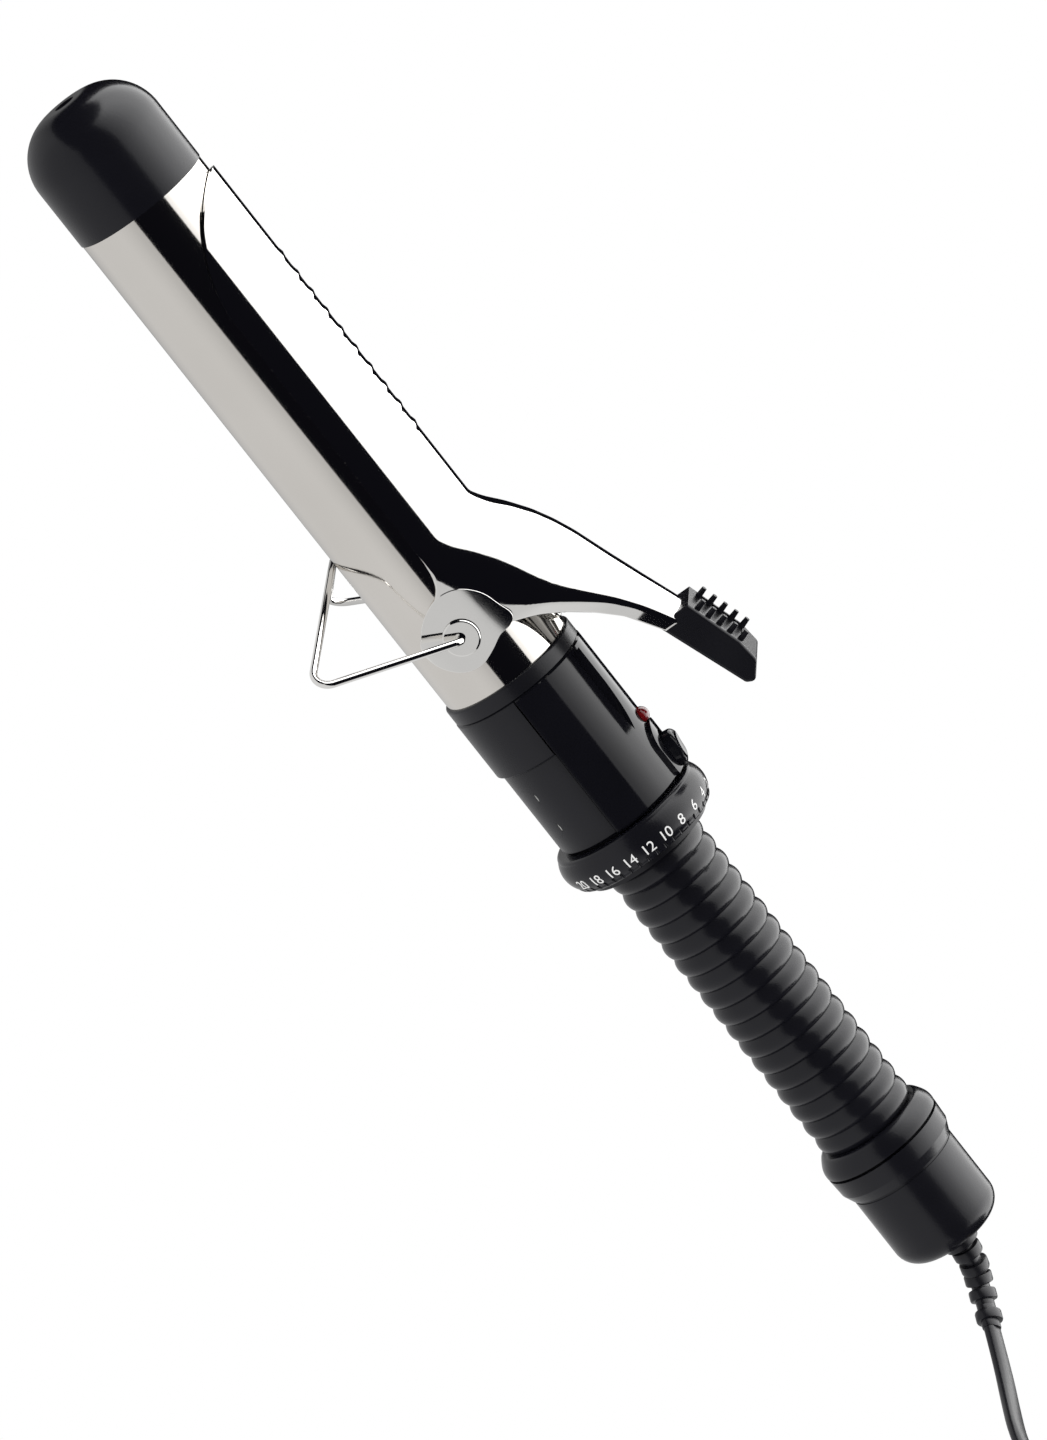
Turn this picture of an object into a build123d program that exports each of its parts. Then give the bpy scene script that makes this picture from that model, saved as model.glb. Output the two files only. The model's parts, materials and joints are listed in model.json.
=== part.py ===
from build123d import *
import math
import os

os.makedirs("parts", exist_ok=True)

# Curling iron. Every sub-part is first made in the iron's own frame, in millimetres:
# origin where the clip's hinge axis crosses the barrel's axis, +X along the barrel towards
# the tip, +Z towards the clip, +Y to the side. place() then stands the iron on its wire
# stand and its tail, with the middle of its footprint at the origin.

# ---- Driving dimensions ----
# Barrel, tip and heater
barrel_radius = 15.875          # a 1 1/4 inch barrel
barrel_wall = 0.9
barrel_reach = 115.5            # hinge axis to the tip cap
barrel_tail = 17.6              # hinge axis back to the barrel's hidden end
tip_length = 26.5
tip_lip = 0.225                 # how far the cap stands proud of the barrel
tip_corner = 12.0
tip_wall = 2.2
tip_screw_head_radius = 2.2
tip_screw_radius = 1.3
tip_screw_sink = 5.0
plug_setback = 12.0
plug_length = 5.0
spigot_length = 8.0
heater_start = 9.0
heater_length = 86.0
heater_neck = 6.0               # length of the neck at each end
heater_neck_depth = 3.2
spreader_gap = 0.1              # between the spreaders and the barrel's bore
heater_plate_thickness = 3.0
heater_plate_width = 20.0

# Hinge, clip and thumb rest
sheet = 0.9                     # the clip's sheet thickness
clip_gap = 0.3                  # the spoon's clearance over the barrel
clip_half_angle = 78.0
clip_reach = 112.0              # hinge axis to the spoon's nose
clip_nose_length = 28.0
ear_gap = 0.5                   # between the barrel's side and the ear
ear_proud = 0.03                # the ears' faces stand this far proud of the skirt's
rivet_radius = 2.6
rivet_bore = 0.9
rivet_flange_radius = 4.2
rivet_flange = 0.7
lever_end = -25.6
tongue_half_width = 5.0
thumb_half_width = 6.8
nub_radius = 0.75
nub_height = 2.6
nub_rows = 5
nub_pitch = 2.9
nub_spread = 4.4
spring_x = -9.4
spring_top = 30.2
spring_radius = 3.1
spring_wire = 0.9
spring_turns = 6
spring_post_radius = 2.1
spring_post_height = 3.2

# Stand
wire_radius = 0.85
foot_reach = 12.5               # hinge axis forward to the feet
foot_drop = 30.7                # to the sharp corner that the foot's bend rounds off
foot_spread = 29.7
apex_reach = 25.5
apex_half_width = 4.0
stand_rest_gap = 0.3

# Control housing
housing_radius = 16.8
housing_wall = 2.2
housing_start = 14.6            # hinge axis back to the collar's face
collar_length = 3.6
housing_step = 1.0              # how much the lower half narrows behind its front band
front_band = 18.6
housing_length = 42.1           # collar's face to the dial
neck_radius = 14.2
neck_wall = 2.0
bulkhead = 5.0
bush_plug = 6.0                 # how far the bush plugs into the barrel
bush_grip = 15.0                # how far the housing grips the bush
bush_wall = 3.2
board_thickness = 1.6
board_half_width = 6.6
board_height = -5.0             # the board's underside, below the axis
flute_length = 27.0             # collar's face to the flutes' points
housing_screw_radius = 1.3
housing_screw_head_radius = 2.3
housing_screw_spread = 9.6
screw_seat = -9.0               # the heads' bearing face, below the axis
screw_depth = 7.5               # how far above the axis the screw holes end
lens_radius = 1.9
lens_rise = 1.8
lens_setback = 26.9             # collar's face to the lens
rocker_setback = 36.6           # collar's face to the rocker's middle
rocker_length = 8.8
rocker_width = 6.4
rocker_rise = 3.3
rocker_tilt = 7.0
rocker_sink = 1.8               # the rocker's pivot, inside the housing's bore
rocker_swing_gap = 0.8          # room at the rocker's ends for its swing
switch_half_length = 5.2
surround_rise = 0.9
groove_half = 0.18              # half the width of the parting groove

# Dial
dial_width = 8.5
dial_radius = 19.25
dial_crown = 1.1
dial_knurls = 48
retainer_width = 1.6
retainer_depth = 1.0
track_depth = 0.8
wiper_room = 2.2                # radial room for the wiper inside the ring

# Handle and tail
grip_length = 80.6
grip_radius = 12.0
grip_groove = 0.9
grip_ribs = 17
core_radius = 9.5
core_wall = 1.7
tail_length = 33.0
tail_radius = 13.2
tail_flange_radius = 14.8
tail_corner = 5.0
tail_wall = 5.0

# Cord, lying on the floor behind the iron
cord_radius = 1.85              # a round tube with the flat twin cord's section area
relief_root_radius = 3.5
relief_tip_radius = 2.7
relief_flange_radius = 6.0
relief_flange = 2.0
lead_radius = 1.0
lead_spread = 2.6               # each conductor's distance from the middle
coil_centre = (-247.0, 20.0)
coil_inner_radius = 20.2
coil_outer_radius = 41.9
coil_height = 5.6
tie_thickness = 0.8
tie_width = 6.0
tie_angle = -50.0
plug_body_length = 24.0
plug_width = 23.0
plug_height = 15.0
plug_relief_length = 12.0
plug_heading = 278.75           # degrees round Z, from +X
blade_length = 17.5
blade_width = 6.4
blade_thickness = 1.6
blade_spacing = 12.7

# The cord's route, chosen by hand: from the strain relief's end down to the floor and
# round to the coil, then from the coil's top turn up to the plug.
cord_route = [
    (-179.6, 5.6, 6.2), (-187.2, 14.2, 3.2), (-191.2, 27.0, 1.9), (-193.6, 41.0, 1.9),
    (-201.0, 52.0, 1.9), (-214.0, 59.5, 1.9), (-230.5, 61.3, 1.9), (-247.0, 59.1, 1.9),
]
lead_route = [
    (-248.0, 59.1, 4.6), (-264.0, 56.5, 7.8), (-275.5, 46.5, 11.4), (-279.0, 32.0, 13.1),
    (-277.0, 19.0, 13.1),
]

# Clearances
running = 0.05                  # radial, on each turning fit
seat_gap = 0.02                 # between pieces that seat in each other
side_gap = 0.3                  # beside moving pieces

# ---- Stations worked out from the driving dimensions ----
tip_radius = barrel_radius + tip_lip
tip_front = barrel_reach + tip_length
barrel_bore = barrel_radius - barrel_wall
collar_face = -housing_start
housing_front = collar_face - collar_length
dial_front = collar_face - housing_length
dial_rear = dial_front - dial_width
dial_mid = (dial_front + dial_rear) / 2
retainer_front = dial_rear - side_gap
neck_end = retainer_front - retainer_width
grip_rear = neck_end - grip_length
tail_end = grip_rear - tail_length
ear_inner = barrel_radius + ear_gap
ear_outer = ear_inner + sheet
spoon_inner = barrel_radius + clip_gap
spoon_outer = spoon_inner + sheet
rivet_end = ear_outer + side_gap + rivet_flange
housing_bore = housing_radius - housing_wall
bush_front = -barrel_tail + bush_plug
bush_rear = housing_front - bush_grip
board_front = bush_rear - 2.0
board_rear = dial_front + 2.5
board_ribs = (board_front - 2.5, board_rear + 2.5)
screw_stations = (board_front - 5.2, board_rear + 5.4)
wiper_radius = neck_radius + wiper_room
tail_screw_x = tail_end + tail_wall + 4.0
tail_screw_seat = core_radius + 1.0
lens_x = collar_face - lens_setback
rocker_axis_z = housing_bore - rocker_sink
rocker_x = collar_face - rocker_setback
switch_rear = dial_front + 2.7
big = 400.0                     # larger than the iron, for half-space cuts


# ---- Helpers ----
def bar_x(radius, x_start, x_end, y=0.0, z=0.0):
    """A round bar along X."""
    middle = Pos((x_start + x_end) / 2, y, z)
    return middle * Rot(0, 90, 0) * Cylinder(radius, abs(x_end - x_start))


def bar_y(radius, y_start, y_end, x=0.0, z=0.0):
    """A round bar along Y."""
    middle = Pos(x, (y_start + y_end) / 2, z)
    return middle * Rot(90, 0, 0) * Cylinder(radius, abs(y_end - y_start))


def bar_z(radius, z_start, z_end, x=0.0, y=0.0):
    """A round bar along Z."""
    return Pos(x, y, (z_start + z_end) / 2) * Cylinder(radius, abs(z_end - z_start))


def ring_x(outer, inner, x_start, x_end):
    """A plain ring round the X axis."""
    return bar_x(outer, x_start, x_end) - bar_x(inner, x_start + 1, x_end - 1)


def block(x_start, x_end, y_start, y_end, z_start, z_end):
    """A box between its two corners."""
    middle = Pos((x_start + x_end) / 2, (y_start + y_end) / 2, (z_start + z_end) / 2)
    return middle * Box(abs(x_end - x_start), abs(y_end - y_start), abs(z_end - z_start))


def turned(lines):
    """A body of revolution about X, from its closed (x, radius) outline."""
    return revolve(make_face(Plane.XZ * lines), Axis.X)


def turned_outline(*points):
    """A body of revolution about X, from the corners of its outline."""
    return turned(Polyline(*points, close=True))


def side_plate(lines, y_start, y_end):
    """A plate of a side-view outline, from y_start to y_end."""
    face = make_face(Plane.XZ * lines)
    return Pos(0, y_end, 0) * extrude(face, y_end - y_start, dir=(0, -1, 0))


def upper_half():
    return block(-big, big, -big, big, 0, big)


def lower_half():
    return block(-big, big, -big, big, -big, 0)


def both_sides(shape):
    """A shape and its mirror image across the XZ plane."""
    return [shape, mirror(shape, about=Plane.XZ)]


# ---- Tip ----
def make_cool_tip():
    """Domed cap with a spigot that plugs the barrel and a sunk screw hole."""
    round_start = tip_front - tip_corner
    flat_radius = tip_radius - tip_corner
    bend = tip_corner * math.sqrt(0.5)
    outline = (
        Line((barrel_reach, 0), (barrel_reach, tip_radius))
        + Line((barrel_reach, tip_radius), (round_start, tip_radius))
        + ThreePointArc(
            (round_start, tip_radius),
            (round_start + bend, flat_radius + bend),
            (tip_front, flat_radius),
        )
        + Line((tip_front, flat_radius), (tip_front, 0))
        + Line((tip_front, 0), (barrel_reach, 0))
    )
    spigot_radius = barrel_bore - seat_gap
    cap = turned(outline) + bar_x(spigot_radius, barrel_reach - spigot_length, barrel_reach + 1)
    hollow_end = tip_front - tip_screw_sink - tip_wall
    hollow = bar_x(spigot_radius - tip_wall, barrel_reach - spigot_length - 1, round_start)
    cone = turned_outline(
        (round_start, 0), (round_start, spigot_radius - tip_wall),
        (hollow_end, flat_radius), (hollow_end, 0),
    )
    mouth = bar_x(tip_screw_head_radius + 0.2, tip_front - tip_screw_sink, tip_front + 1)
    bore = bar_x(tip_screw_radius + 0.1, hollow_end - 1, tip_front)
    return cap - hollow - cone - mouth - bore


def make_tip_plug():
    """Steel plug in the barrel that the tip screw threads into."""
    front = barrel_reach - plug_setback
    plug = bar_x(barrel_bore - seat_gap, front - plug_length, front)
    boss = bar_x(4.0, front, front + 3.0)
    return plug + boss - bar_x(tip_screw_radius, front - plug_length - 1, front + 4.0)


def make_tip_screw():
    """Long screw from the tip's mouth to the plug, with a cross slot."""
    seat = tip_front - tip_screw_sink
    head = bar_x(tip_screw_head_radius, seat, seat + 1.8)
    shank_end = barrel_reach - plug_setback - plug_length
    shank = bar_x(tip_screw_radius - seat_gap, shank_end, seat)
    slots = block(seat + 1.0, seat + 2.5, -1.4, 1.4, -0.3, 0.3)
    slots += block(seat + 1.0, seat + 2.5, -0.3, 0.3, -1.4, 1.4)
    return head + shank - slots


# ---- Barrel and heater ----
def make_barrel_tube():
    """Chromed tube, drilled across for the two hinge rivets and the spring post."""
    tube = ring_x(barrel_radius, barrel_bore, barrel_reach, -barrel_tail)
    holes = bar_y(rivet_radius, -big, big)
    return tube - holes - bar_z(1.0, 0, big, x=spring_x)


def heater_spreader(sign):
    """Half-round aluminium block, necked at both ends for the clips."""
    end = heater_start + heater_length
    radius = barrel_bore - spreader_gap
    neck = radius - heater_neck_depth
    body = turned_outline(
        (heater_start, 0), (heater_start, neck), (heater_start + heater_neck, neck),
        (heater_start + heater_neck, radius), (end - heater_neck, radius),
        (end - heater_neck, neck), (end, neck), (end, 0),
    )
    flat = heater_plate_thickness / 2
    return body & block(-big, big, -big, big, sign * flat, sign * big)


def make_heater_plate():
    """Ceramic heating plate pinched between the two spreaders."""
    half = heater_plate_width / 2
    flat = heater_plate_thickness / 2
    return block(heater_start - 3.0, heater_start + heater_length, -half, half, -flat, flat)


def make_core_clips():
    """Two split spring rings that squeeze the spreaders together."""
    neck = barrel_bore - spreader_gap - heater_neck_depth
    clips = []
    for start in (heater_start + 1.5, heater_start + heater_length - heater_neck + 1.5):
        ring = ring_x(neck + 1.2, neck, start + 3.0, start)
        clips.append(ring - block(start - 1, start + 4, -2.0, 2.0, 0, big))
    return clips


def make_thermal_fuse():
    """Cylindrical fuse with its two leads."""
    body = bar_x(2.0, -8.0, 3.0, z=6.5)
    return body + bar_x(0.5, -16.0, -8.0, z=6.5) + bar_x(0.5, 3.0, heater_start, z=6.5)


def make_temperature_sensor():
    """Glass bead against the lower spreader, on two thin leads."""
    bead = Pos(heater_start - 1.4, 0, -6.5) * Sphere(1.4)
    for side in (-0.7, 0.7):
        bead += bar_x(0.3, -32.0, heater_start - 1.6, y=side, z=-6.5)
    return bead


def make_barrel_bush():
    """Heat-proof bush: plugs the barrel's rear end, and the housing halves grip it."""
    inner = housing_bore - bush_wall
    shoulder = housing_front + seat_gap
    plug = ring_x(barrel_bore - seat_gap, inner, bush_front, shoulder)
    return plug + ring_x(housing_bore - seat_gap, inner, shoulder, bush_rear)


# ---- Hinge ----
def make_hinge_rivets():
    """Two hollow rivets: shank through ear and barrel wall, flange outside, collar inside."""
    inner_face = barrel_bore * 0.93
    shank = bar_y(rivet_radius - running, inner_face - 1.2, rivet_end)
    flange = bar_y(rivet_flange_radius, rivet_end - rivet_flange, rivet_end)
    flange = fillet(flange.edges().filter_by(GeomType.CIRCLE).sort_by(Axis.Y)[-1], rivet_flange * 0.6)
    collar = bar_y(rivet_radius + 0.9, inner_face - 1.2, inner_face - 0.4)
    spacer = bar_y(rivet_radius + 1.3, barrel_radius + 0.05, ear_inner - 0.05)
    bore = bar_y(rivet_bore, 0, big)
    return both_sides(shank + flange + collar + spacer - bore)


def ear_outline():
    """Side view of one ear: a rounded disc with a lobe at its upper rear corner."""
    return Spline(
        (9.9, 3.0), (9.3, 0.4), (7.5, -3.6), (4.6, -6.8), (0.8, -8.1), (-3.4, -6.8),
        (-6.4, -3.8), (-7.1, 0.4), (-5.6, 4.2), (-4.3, 7.0),
    ) + Polyline((-4.3, 7.0), (-3.6, 10.0), (-2.0, 11.6), (9.9, 11.6), (9.9, 3.0))


def lever_section(x, half_width, shoulder, crown, inset):
    """One arched cross-section of the lever, from below the shoulder to the crown."""
    width = half_width - inset
    top = crown - inset
    rise = top - shoulder
    lean = math.sqrt(0.5)
    low = -12.0
    plane = Plane(origin=(x, 0, 0), x_dir=(0, 1, 0), z_dir=(1, 0, 0))
    outline = (
        Line((-width, low), (width, low))
        + Line((width, low), (width, shoulder))
        + Spline(
            (width, shoulder),
            (width * lean, shoulder + rise * lean),
            (0, top),
            (-width * lean, shoulder + rise * lean),
            (-width, shoulder),
            tangents=[(0, 1), (0, -1)],
        )
        + Line((-width, shoulder), (-width, low))
    )
    return plane * make_face(outline)


def lever_sections():
    """Stations of the lever, rear to front: x, half width, shoulder height, crown height."""
    wide = ear_outer
    return [
        (-28.0, 6.9, 37.2, 40.1),
        (-20.0, 8.6, 33.2, 37.4),
        (-14.0, 10.8, 28.6, 35.2),
        (-8.0, 13.8, 21.5, 33.0),
        (-3.0, 16.4, 15.5, 31.1),
        (3.0, wide, 10.5, 28.8),
        (9.0, wide, 6.4, 25.6),
        (14.0, wide, 3.2, 22.0),
        (17.7, wide, 1.2, 18.9),
        (21.5, wide, 0.2, spoon_outer + 0.1),
        (28.0, wide, 0.0, spoon_outer),
    ]


def make_clip_lever():
    """Sheet-metal clip: spoon over the barrel, two ears at the hinge, raised thumb lever."""
    stations = lever_sections()
    last = stations[-1][0]
    lever = loft([lever_section(*station, 0.0) for station in stations], ruled=True)
    lever -= loft([lever_section(*station, sheet) for station in stations], ruled=True)
    spoon = ring_x(spoon_outer, spoon_inner, clip_reach, last)
    edge_height = spoon_inner * math.cos(math.radians(clip_half_angle))
    nose_start = clip_reach - clip_nose_length
    nose = []
    for step in range(1, 6):
        along = math.sin(math.radians(15 * step))
        across = math.cos(math.radians(15 * step))
        height = spoon_outer * math.cos(math.radians(clip_half_angle * across))
        nose.append((nose_start + clip_nose_length * along, height))
    nose.append((clip_reach, spoon_outer + 0.5))
    spoon_edge = Spline((nose_start, edge_height), *nose, tangents=[(1, 0), (0, 1)]) + Polyline(
        nose[-1], (clip_reach, 60.0), (last, 60.0), (last, edge_height), (nose_start, edge_height)
    )
    spoon = spoon & side_plate(spoon_edge, -big, big)
    lever_edge = Polyline(
        (last, edge_height), (9.9, edge_height), (9.9, -2.0), (-2.0, 11.6), (-4.8, 13.0), (-6.7, 16.6),
        (-9.8, 20.7), (-14.0, 25.0), (-19.0, 29.3), (lever_end, 33.4), (lever_end, 60.0), (last, 60.0),
        close=True,
    )
    lever = lever & side_plate(lever_edge, -big, big)
    clip = spoon + lever + make_tongue(0.0)
    for ear in both_sides(side_plate(ear_outline(), ear_inner - ear_proud, ear_outer + ear_proud)):
        clip += ear
    clip -= bar_x(spoon_inner, lever_end, last + 1)
    return clip - bar_y(rivet_radius, -big, big)


def make_tongue(clearance):
    """Flat tongue on the lever's end that the thumb rest is pressed on."""
    thick = sheet / 2 + clearance
    width = tongue_half_width + clearance
    outline = Polyline(
        (lever_end + 2.5, 37.7 - thick), (lever_end + 2.5, 37.7 + thick),
        (-43.5 - clearance, 43.2 + thick), (-43.5 - clearance, 43.2 - thick), close=True,
    )
    return side_plate(outline, -width, width)


def make_thumb_rest():
    """Moulded thumb pad: a wedge with a rimmed top and rows of round nubs."""
    front = lever_end - seat_gap
    outline = Polyline(
        (front, 33.0), (front, 41.5), (-39.0, 45.6), (-44.5, 46.1), (-48.4, 42.9), (-47.4, 41.0),
        close=True,
    )
    pad = side_plate(outline, -thumb_half_width, thumb_half_width)
    pad = fillet(pad.edges().filter_by(Axis.Y).sort_by(Axis.X)[:3], 1.2)
    pad = fillet(pad.faces().sort_by(Axis.Y)[-1].edges() + pad.faces().sort_by(Axis.Y)[0].edges(), 0.7)
    slope = math.degrees(math.atan2(45.6 - 41.5, 39.0 + front))
    top = Pos((front - 39.0) / 2, 0, (41.5 + 45.6) / 2) * Rot(0, slope, 0)
    inset = thumb_half_width - 1.2
    pad -= top * Pos(-1.2, 0, 0) * Box(12.6, 2 * inset, 0.8)
    for row in range(nub_rows):
        for side in (-1, 1):
            spot = Pos(4.4 - nub_pitch * row, nub_spread * side, -0.5 + nub_height / 2)
            pad += top * spot * Cone(nub_radius, nub_radius * 0.75, nub_height + 0.2)
    return pad - make_tongue(seat_gap)


def make_clip_spring():
    """Compression spring between the barrel and the lever's underside."""
    low, high = barrel_radius + spring_wire / 2 + 0.05, spring_top
    pitch = (high - low) / spring_turns
    coil = Pos(spring_x, 0, low) * Helix(pitch, high - low, spring_radius)
    start = Plane(origin=coil @ 0, z_dir=coil % 0)
    return sweep(start * Circle(spring_wire / 2), path=coil, is_frenet=True)


def make_spring_post():
    """Round post on the barrel that keeps the spring in place."""
    head = bar_z(spring_post_radius, barrel_radius + 0.1, barrel_radius + spring_post_height, x=spring_x)
    head = fillet(head.edges().filter_by(GeomType.CIRCLE).sort_by(Axis.Z)[-1], 0.6)
    return head + bar_z(1.0 - seat_gap, barrel_bore - 1.2, barrel_radius + 1, x=spring_x)


# ---- Stand ----
def make_stand_wire():
    """Wire bail: ends hooked in the rivets, two feet, and an arch that stops under the barrel."""
    apex_drop = barrel_radius + stand_rest_gap + wire_radius
    shoulder = rivet_end + wire_radius + 1.2
    half = [
        (0, rivet_end - rivet_flange - 2.6, 0),
        (0, shoulder, 0),
        (foot_reach, foot_spread, -foot_drop),
        (apex_reach, apex_half_width, -apex_drop),
    ]
    points = half + [(x, -y, z) for x, y, z in reversed(half)]
    path = FilletPolyline(*points, radius=[1.5, 3.2, 2.4, 2.4, 3.2, 1.5])
    start = Plane(origin=path @ 0, z_dir=path % 0)
    return sweep(start * Circle(wire_radius), path=path)


# ---- Control housing ----
def make_front_collar():
    """Heat collar between barrel and housing, with a rounded outer lip."""
    lip = housing_radius - 0.15
    collar = bar_x(lip, collar_face, housing_front)
    rim = collar.edges().filter_by(GeomType.CIRCLE).sort_by(Axis.X)[-1]
    collar = fillet(rim, (lip - barrel_radius) * 0.7)
    seat = bar_x(barrel_radius + seat_gap, collar_face + 1, -barrel_tail)
    return collar - seat - bar_x(barrel_bore, collar_face, housing_front - 1)


def housing_shell(band_radius, rear_radius):
    """The housing's full round shell, before it is parted: band, neck and rear bulkhead."""
    step_x = collar_face - front_band
    edge = 0.7
    return turned_outline(
        (housing_front, housing_bore), (housing_front, band_radius - edge),
        (housing_front - edge, band_radius),
        (step_x, band_radius), (step_x - edge, rear_radius), (dial_front + side_gap + edge, rear_radius),
        (dial_front + side_gap, rear_radius - edge), (dial_front + side_gap, neck_radius),
        (neck_end, neck_radius), (neck_end, core_radius + seat_gap),
        (neck_end + bulkhead, core_radius + seat_gap), (neck_end + bulkhead, neck_radius - neck_wall),
        (dial_front + 1.0, neck_radius - neck_wall), (dial_front + 2.5, housing_bore),
    )


def retainer_groove():
    """Groove round the neck's end for the dial's snap ring, and the track's groove."""
    ring = ring_x(neck_radius + 1, neck_radius - retainer_depth, retainer_front, neck_end + 0.4)
    track = ring_x(neck_radius + 1, neck_radius - track_depth, dial_mid + 2.2, dial_mid - 2.2)
    return ring + track


def screw_places():
    """The four housing screws: two pairs, to the sides of the board."""
    return [(x, side * housing_screw_spread) for x in screw_stations for side in (-1, 1)]


def screw_post(x, y, z_start, z_end):
    """A round boss for a housing screw, kept inside the shell."""
    boss = bar_z(housing_screw_radius + 1.5, z_start, z_end, x=x, y=y)
    return boss & bar_x(housing_bore + 0.8, housing_front, dial_front)


def parting_groove():
    """Shallow groove along the line where the two halves meet."""
    strip = block(housing_front + 1, dial_front - 1, -big, big, -groove_half, groove_half)
    return strip - bar_x(housing_radius - housing_step - groove_half, housing_front + 2, dial_front - 2)


def make_flute():
    """Pointed V-shaped flute beside the housing's crown, on the +Y side."""
    point = (collar_face - flute_length, 7.0)
    start = housing_front - 1.6
    plan = make_face(
        Spline((start, 4.4), (start - 10.0, 4.7), point, tangents=[(-1, 0), (-1, 0.45)])
        + Spline(point, (start - 12.0, 8.3), (start, 8.8), tangents=[(1, 0.2), (1, 0)])
        + Line((start, 8.8), (start, 4.4))
    )
    inner, low, outer = (4.26, housing_radius + 0.23), (5.72, housing_radius - 2.84), (9.0, housing_radius - 1.74)
    outline = Polyline(inner, low, outer, (9.0, housing_radius + 3), (4.26, housing_radius + 3), close=True)
    prism = extrude(make_face(Plane.YZ * outline), 60, dir=(-1, 0, 0))
    return prism & extrude(plan, big)


def make_upper_housing():
    """Glossy upper half: two flutes, lens and switch openings, raised surround."""
    shell = housing_shell(housing_radius, housing_radius) & upper_half()
    for x, y in screw_places():
        shell += screw_post(x, y, 0, big)
    start = rocker_x + rocker_length / 2 + 4.5
    surround = bar_x(housing_radius + surround_rise, start, dial_front + side_gap + 0.6)
    pad = extrude(Pos(rocker_x - 0.5, 0, 0) * SlotOverall(rocker_length + 8.0, rocker_width + 5.0), 30)
    surround = surround & pad & block(start, dial_front + side_gap + 0.6, -big, big, 0, big)
    surround -= bar_x(housing_radius - 0.5, start + 1, dial_front - 1)
    shell += surround
    for flute in both_sides(make_flute()):
        shell -= flute
    shell -= bar_z(lens_radius + 0.1, 0, big, x=lens_x)
    opening = SlotOverall(rocker_length + 2 * rocker_swing_gap, rocker_width + 2 * side_gap)
    shell -= extrude(Pos(rocker_x, 0, 0) * opening, big)
    for x, y in screw_places():
        shell -= bar_z(housing_screw_radius - seat_gap, -1, screw_depth, x=x, y=y)
    return shell - retainer_groove() - parting_groove()


def make_lower_housing():
    """Plain lower half, stepped in behind its front band, with sunk screw holes and board ribs."""
    shell = housing_shell(housing_radius, housing_radius - housing_step) & lower_half()
    for x, y in screw_places():
        shell += screw_post(x, y, -big, 0)
    for x in board_ribs:
        rib = block(x - 0.8, x + 0.8, -board_half_width, board_half_width, -big, board_height)
        shell += rib & bar_x(housing_bore + 0.5, -big, big)
    for x, y in screw_places():
        shell -= bar_z(housing_screw_head_radius + 0.15, -big, screw_seat, x=x, y=y)
        shell -= bar_z(housing_screw_radius + 0.2, -big, 1, x=x, y=y)
    return shell - retainer_groove() - parting_groove()


def make_screw_covers():
    """Four plugs that close the screw holes, flush with the lower half."""
    covers = []
    for x, y in screw_places():
        plug = bar_z(housing_screw_head_radius + 0.15 - seat_gap, -big, screw_seat - 1.6, x=x, y=y)
        covers.append(plug & bar_x(housing_radius - housing_step, housing_front, dial_front))
    return covers


def make_housing_screws():
    """Four pan-head screws that draw the halves together."""
    screws = []
    for x, y in screw_places():
        head = bar_z(housing_screw_head_radius, screw_seat - 1.5, screw_seat, x=x, y=y)
        slot = block(x - 1.5, x + 1.5, y - 0.3, y + 0.3, screw_seat - 2, screw_seat - 0.9)
        slot += block(x - 0.3, x + 0.3, y - 1.5, y + 1.5, screw_seat - 2, screw_seat - 0.9)
        shank = bar_z(housing_screw_radius - 2 * seat_gap, screw_seat, screw_depth - 1, x=x, y=y)
        screws.append(head - slot + shank)
    return screws


def make_indicator_lens():
    """Red domed lens of the ready light."""
    low = housing_radius - housing_wall - 1.0
    dome_radius = (lens_radius**2 + lens_rise**2) / (2 * lens_rise)
    dome = Pos(lens_x, 0, housing_radius + lens_rise - dome_radius) * Sphere(dome_radius)
    stem = bar_z(lens_radius, low, housing_radius + 0.1, x=lens_x)
    dome = dome & bar_z(lens_radius, housing_radius, big, x=lens_x)
    foot = bar_z(lens_radius + 0.9, low - 0.8, low, x=lens_x)
    return stem + dome + foot


def make_indicator_lamp():
    """Small neon lamp under the lens, on two leads down to the board."""
    top = housing_radius - housing_wall - 3.0
    lamp = bar_z(1.4, top - 5.0, top - 0.6, x=lens_x) + Pos(lens_x, 0, top - 0.6) * Sphere(1.4)
    for side in (-0.7, 0.7):
        lamp += bar_z(0.3, board_height + board_thickness, top - 4.8, x=lens_x, y=side)
    return lamp


def make_switch_body():
    """Switch block under the rocker, with its pivot cheeks and terminals."""
    half = rocker_width / 2
    low, high = board_height + board_thickness, rocker_axis_z - 3.4
    length = switch_half_length
    body = block(switch_rear, rocker_x + length, -half - 1.2, half + 1.2, low + 2.0, high)
    cheeks = block(rocker_x - 2.0, rocker_x + 2.0, half + side_gap, half + 1.2, high, rocker_axis_z + 0.4)
    for cheek in both_sides(cheeks - bar_y(0.9, 0, big, x=rocker_x, z=rocker_axis_z)):
        body += cheek
    for x in (rocker_x - 2.0, rocker_x + 0.8, rocker_x + 3.5):
        body += block(x - 0.4, x + 0.4, -1.5, 1.5, low, low + 2.1)
    return body & bar_x(housing_bore - 0.3, -big, big)


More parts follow.
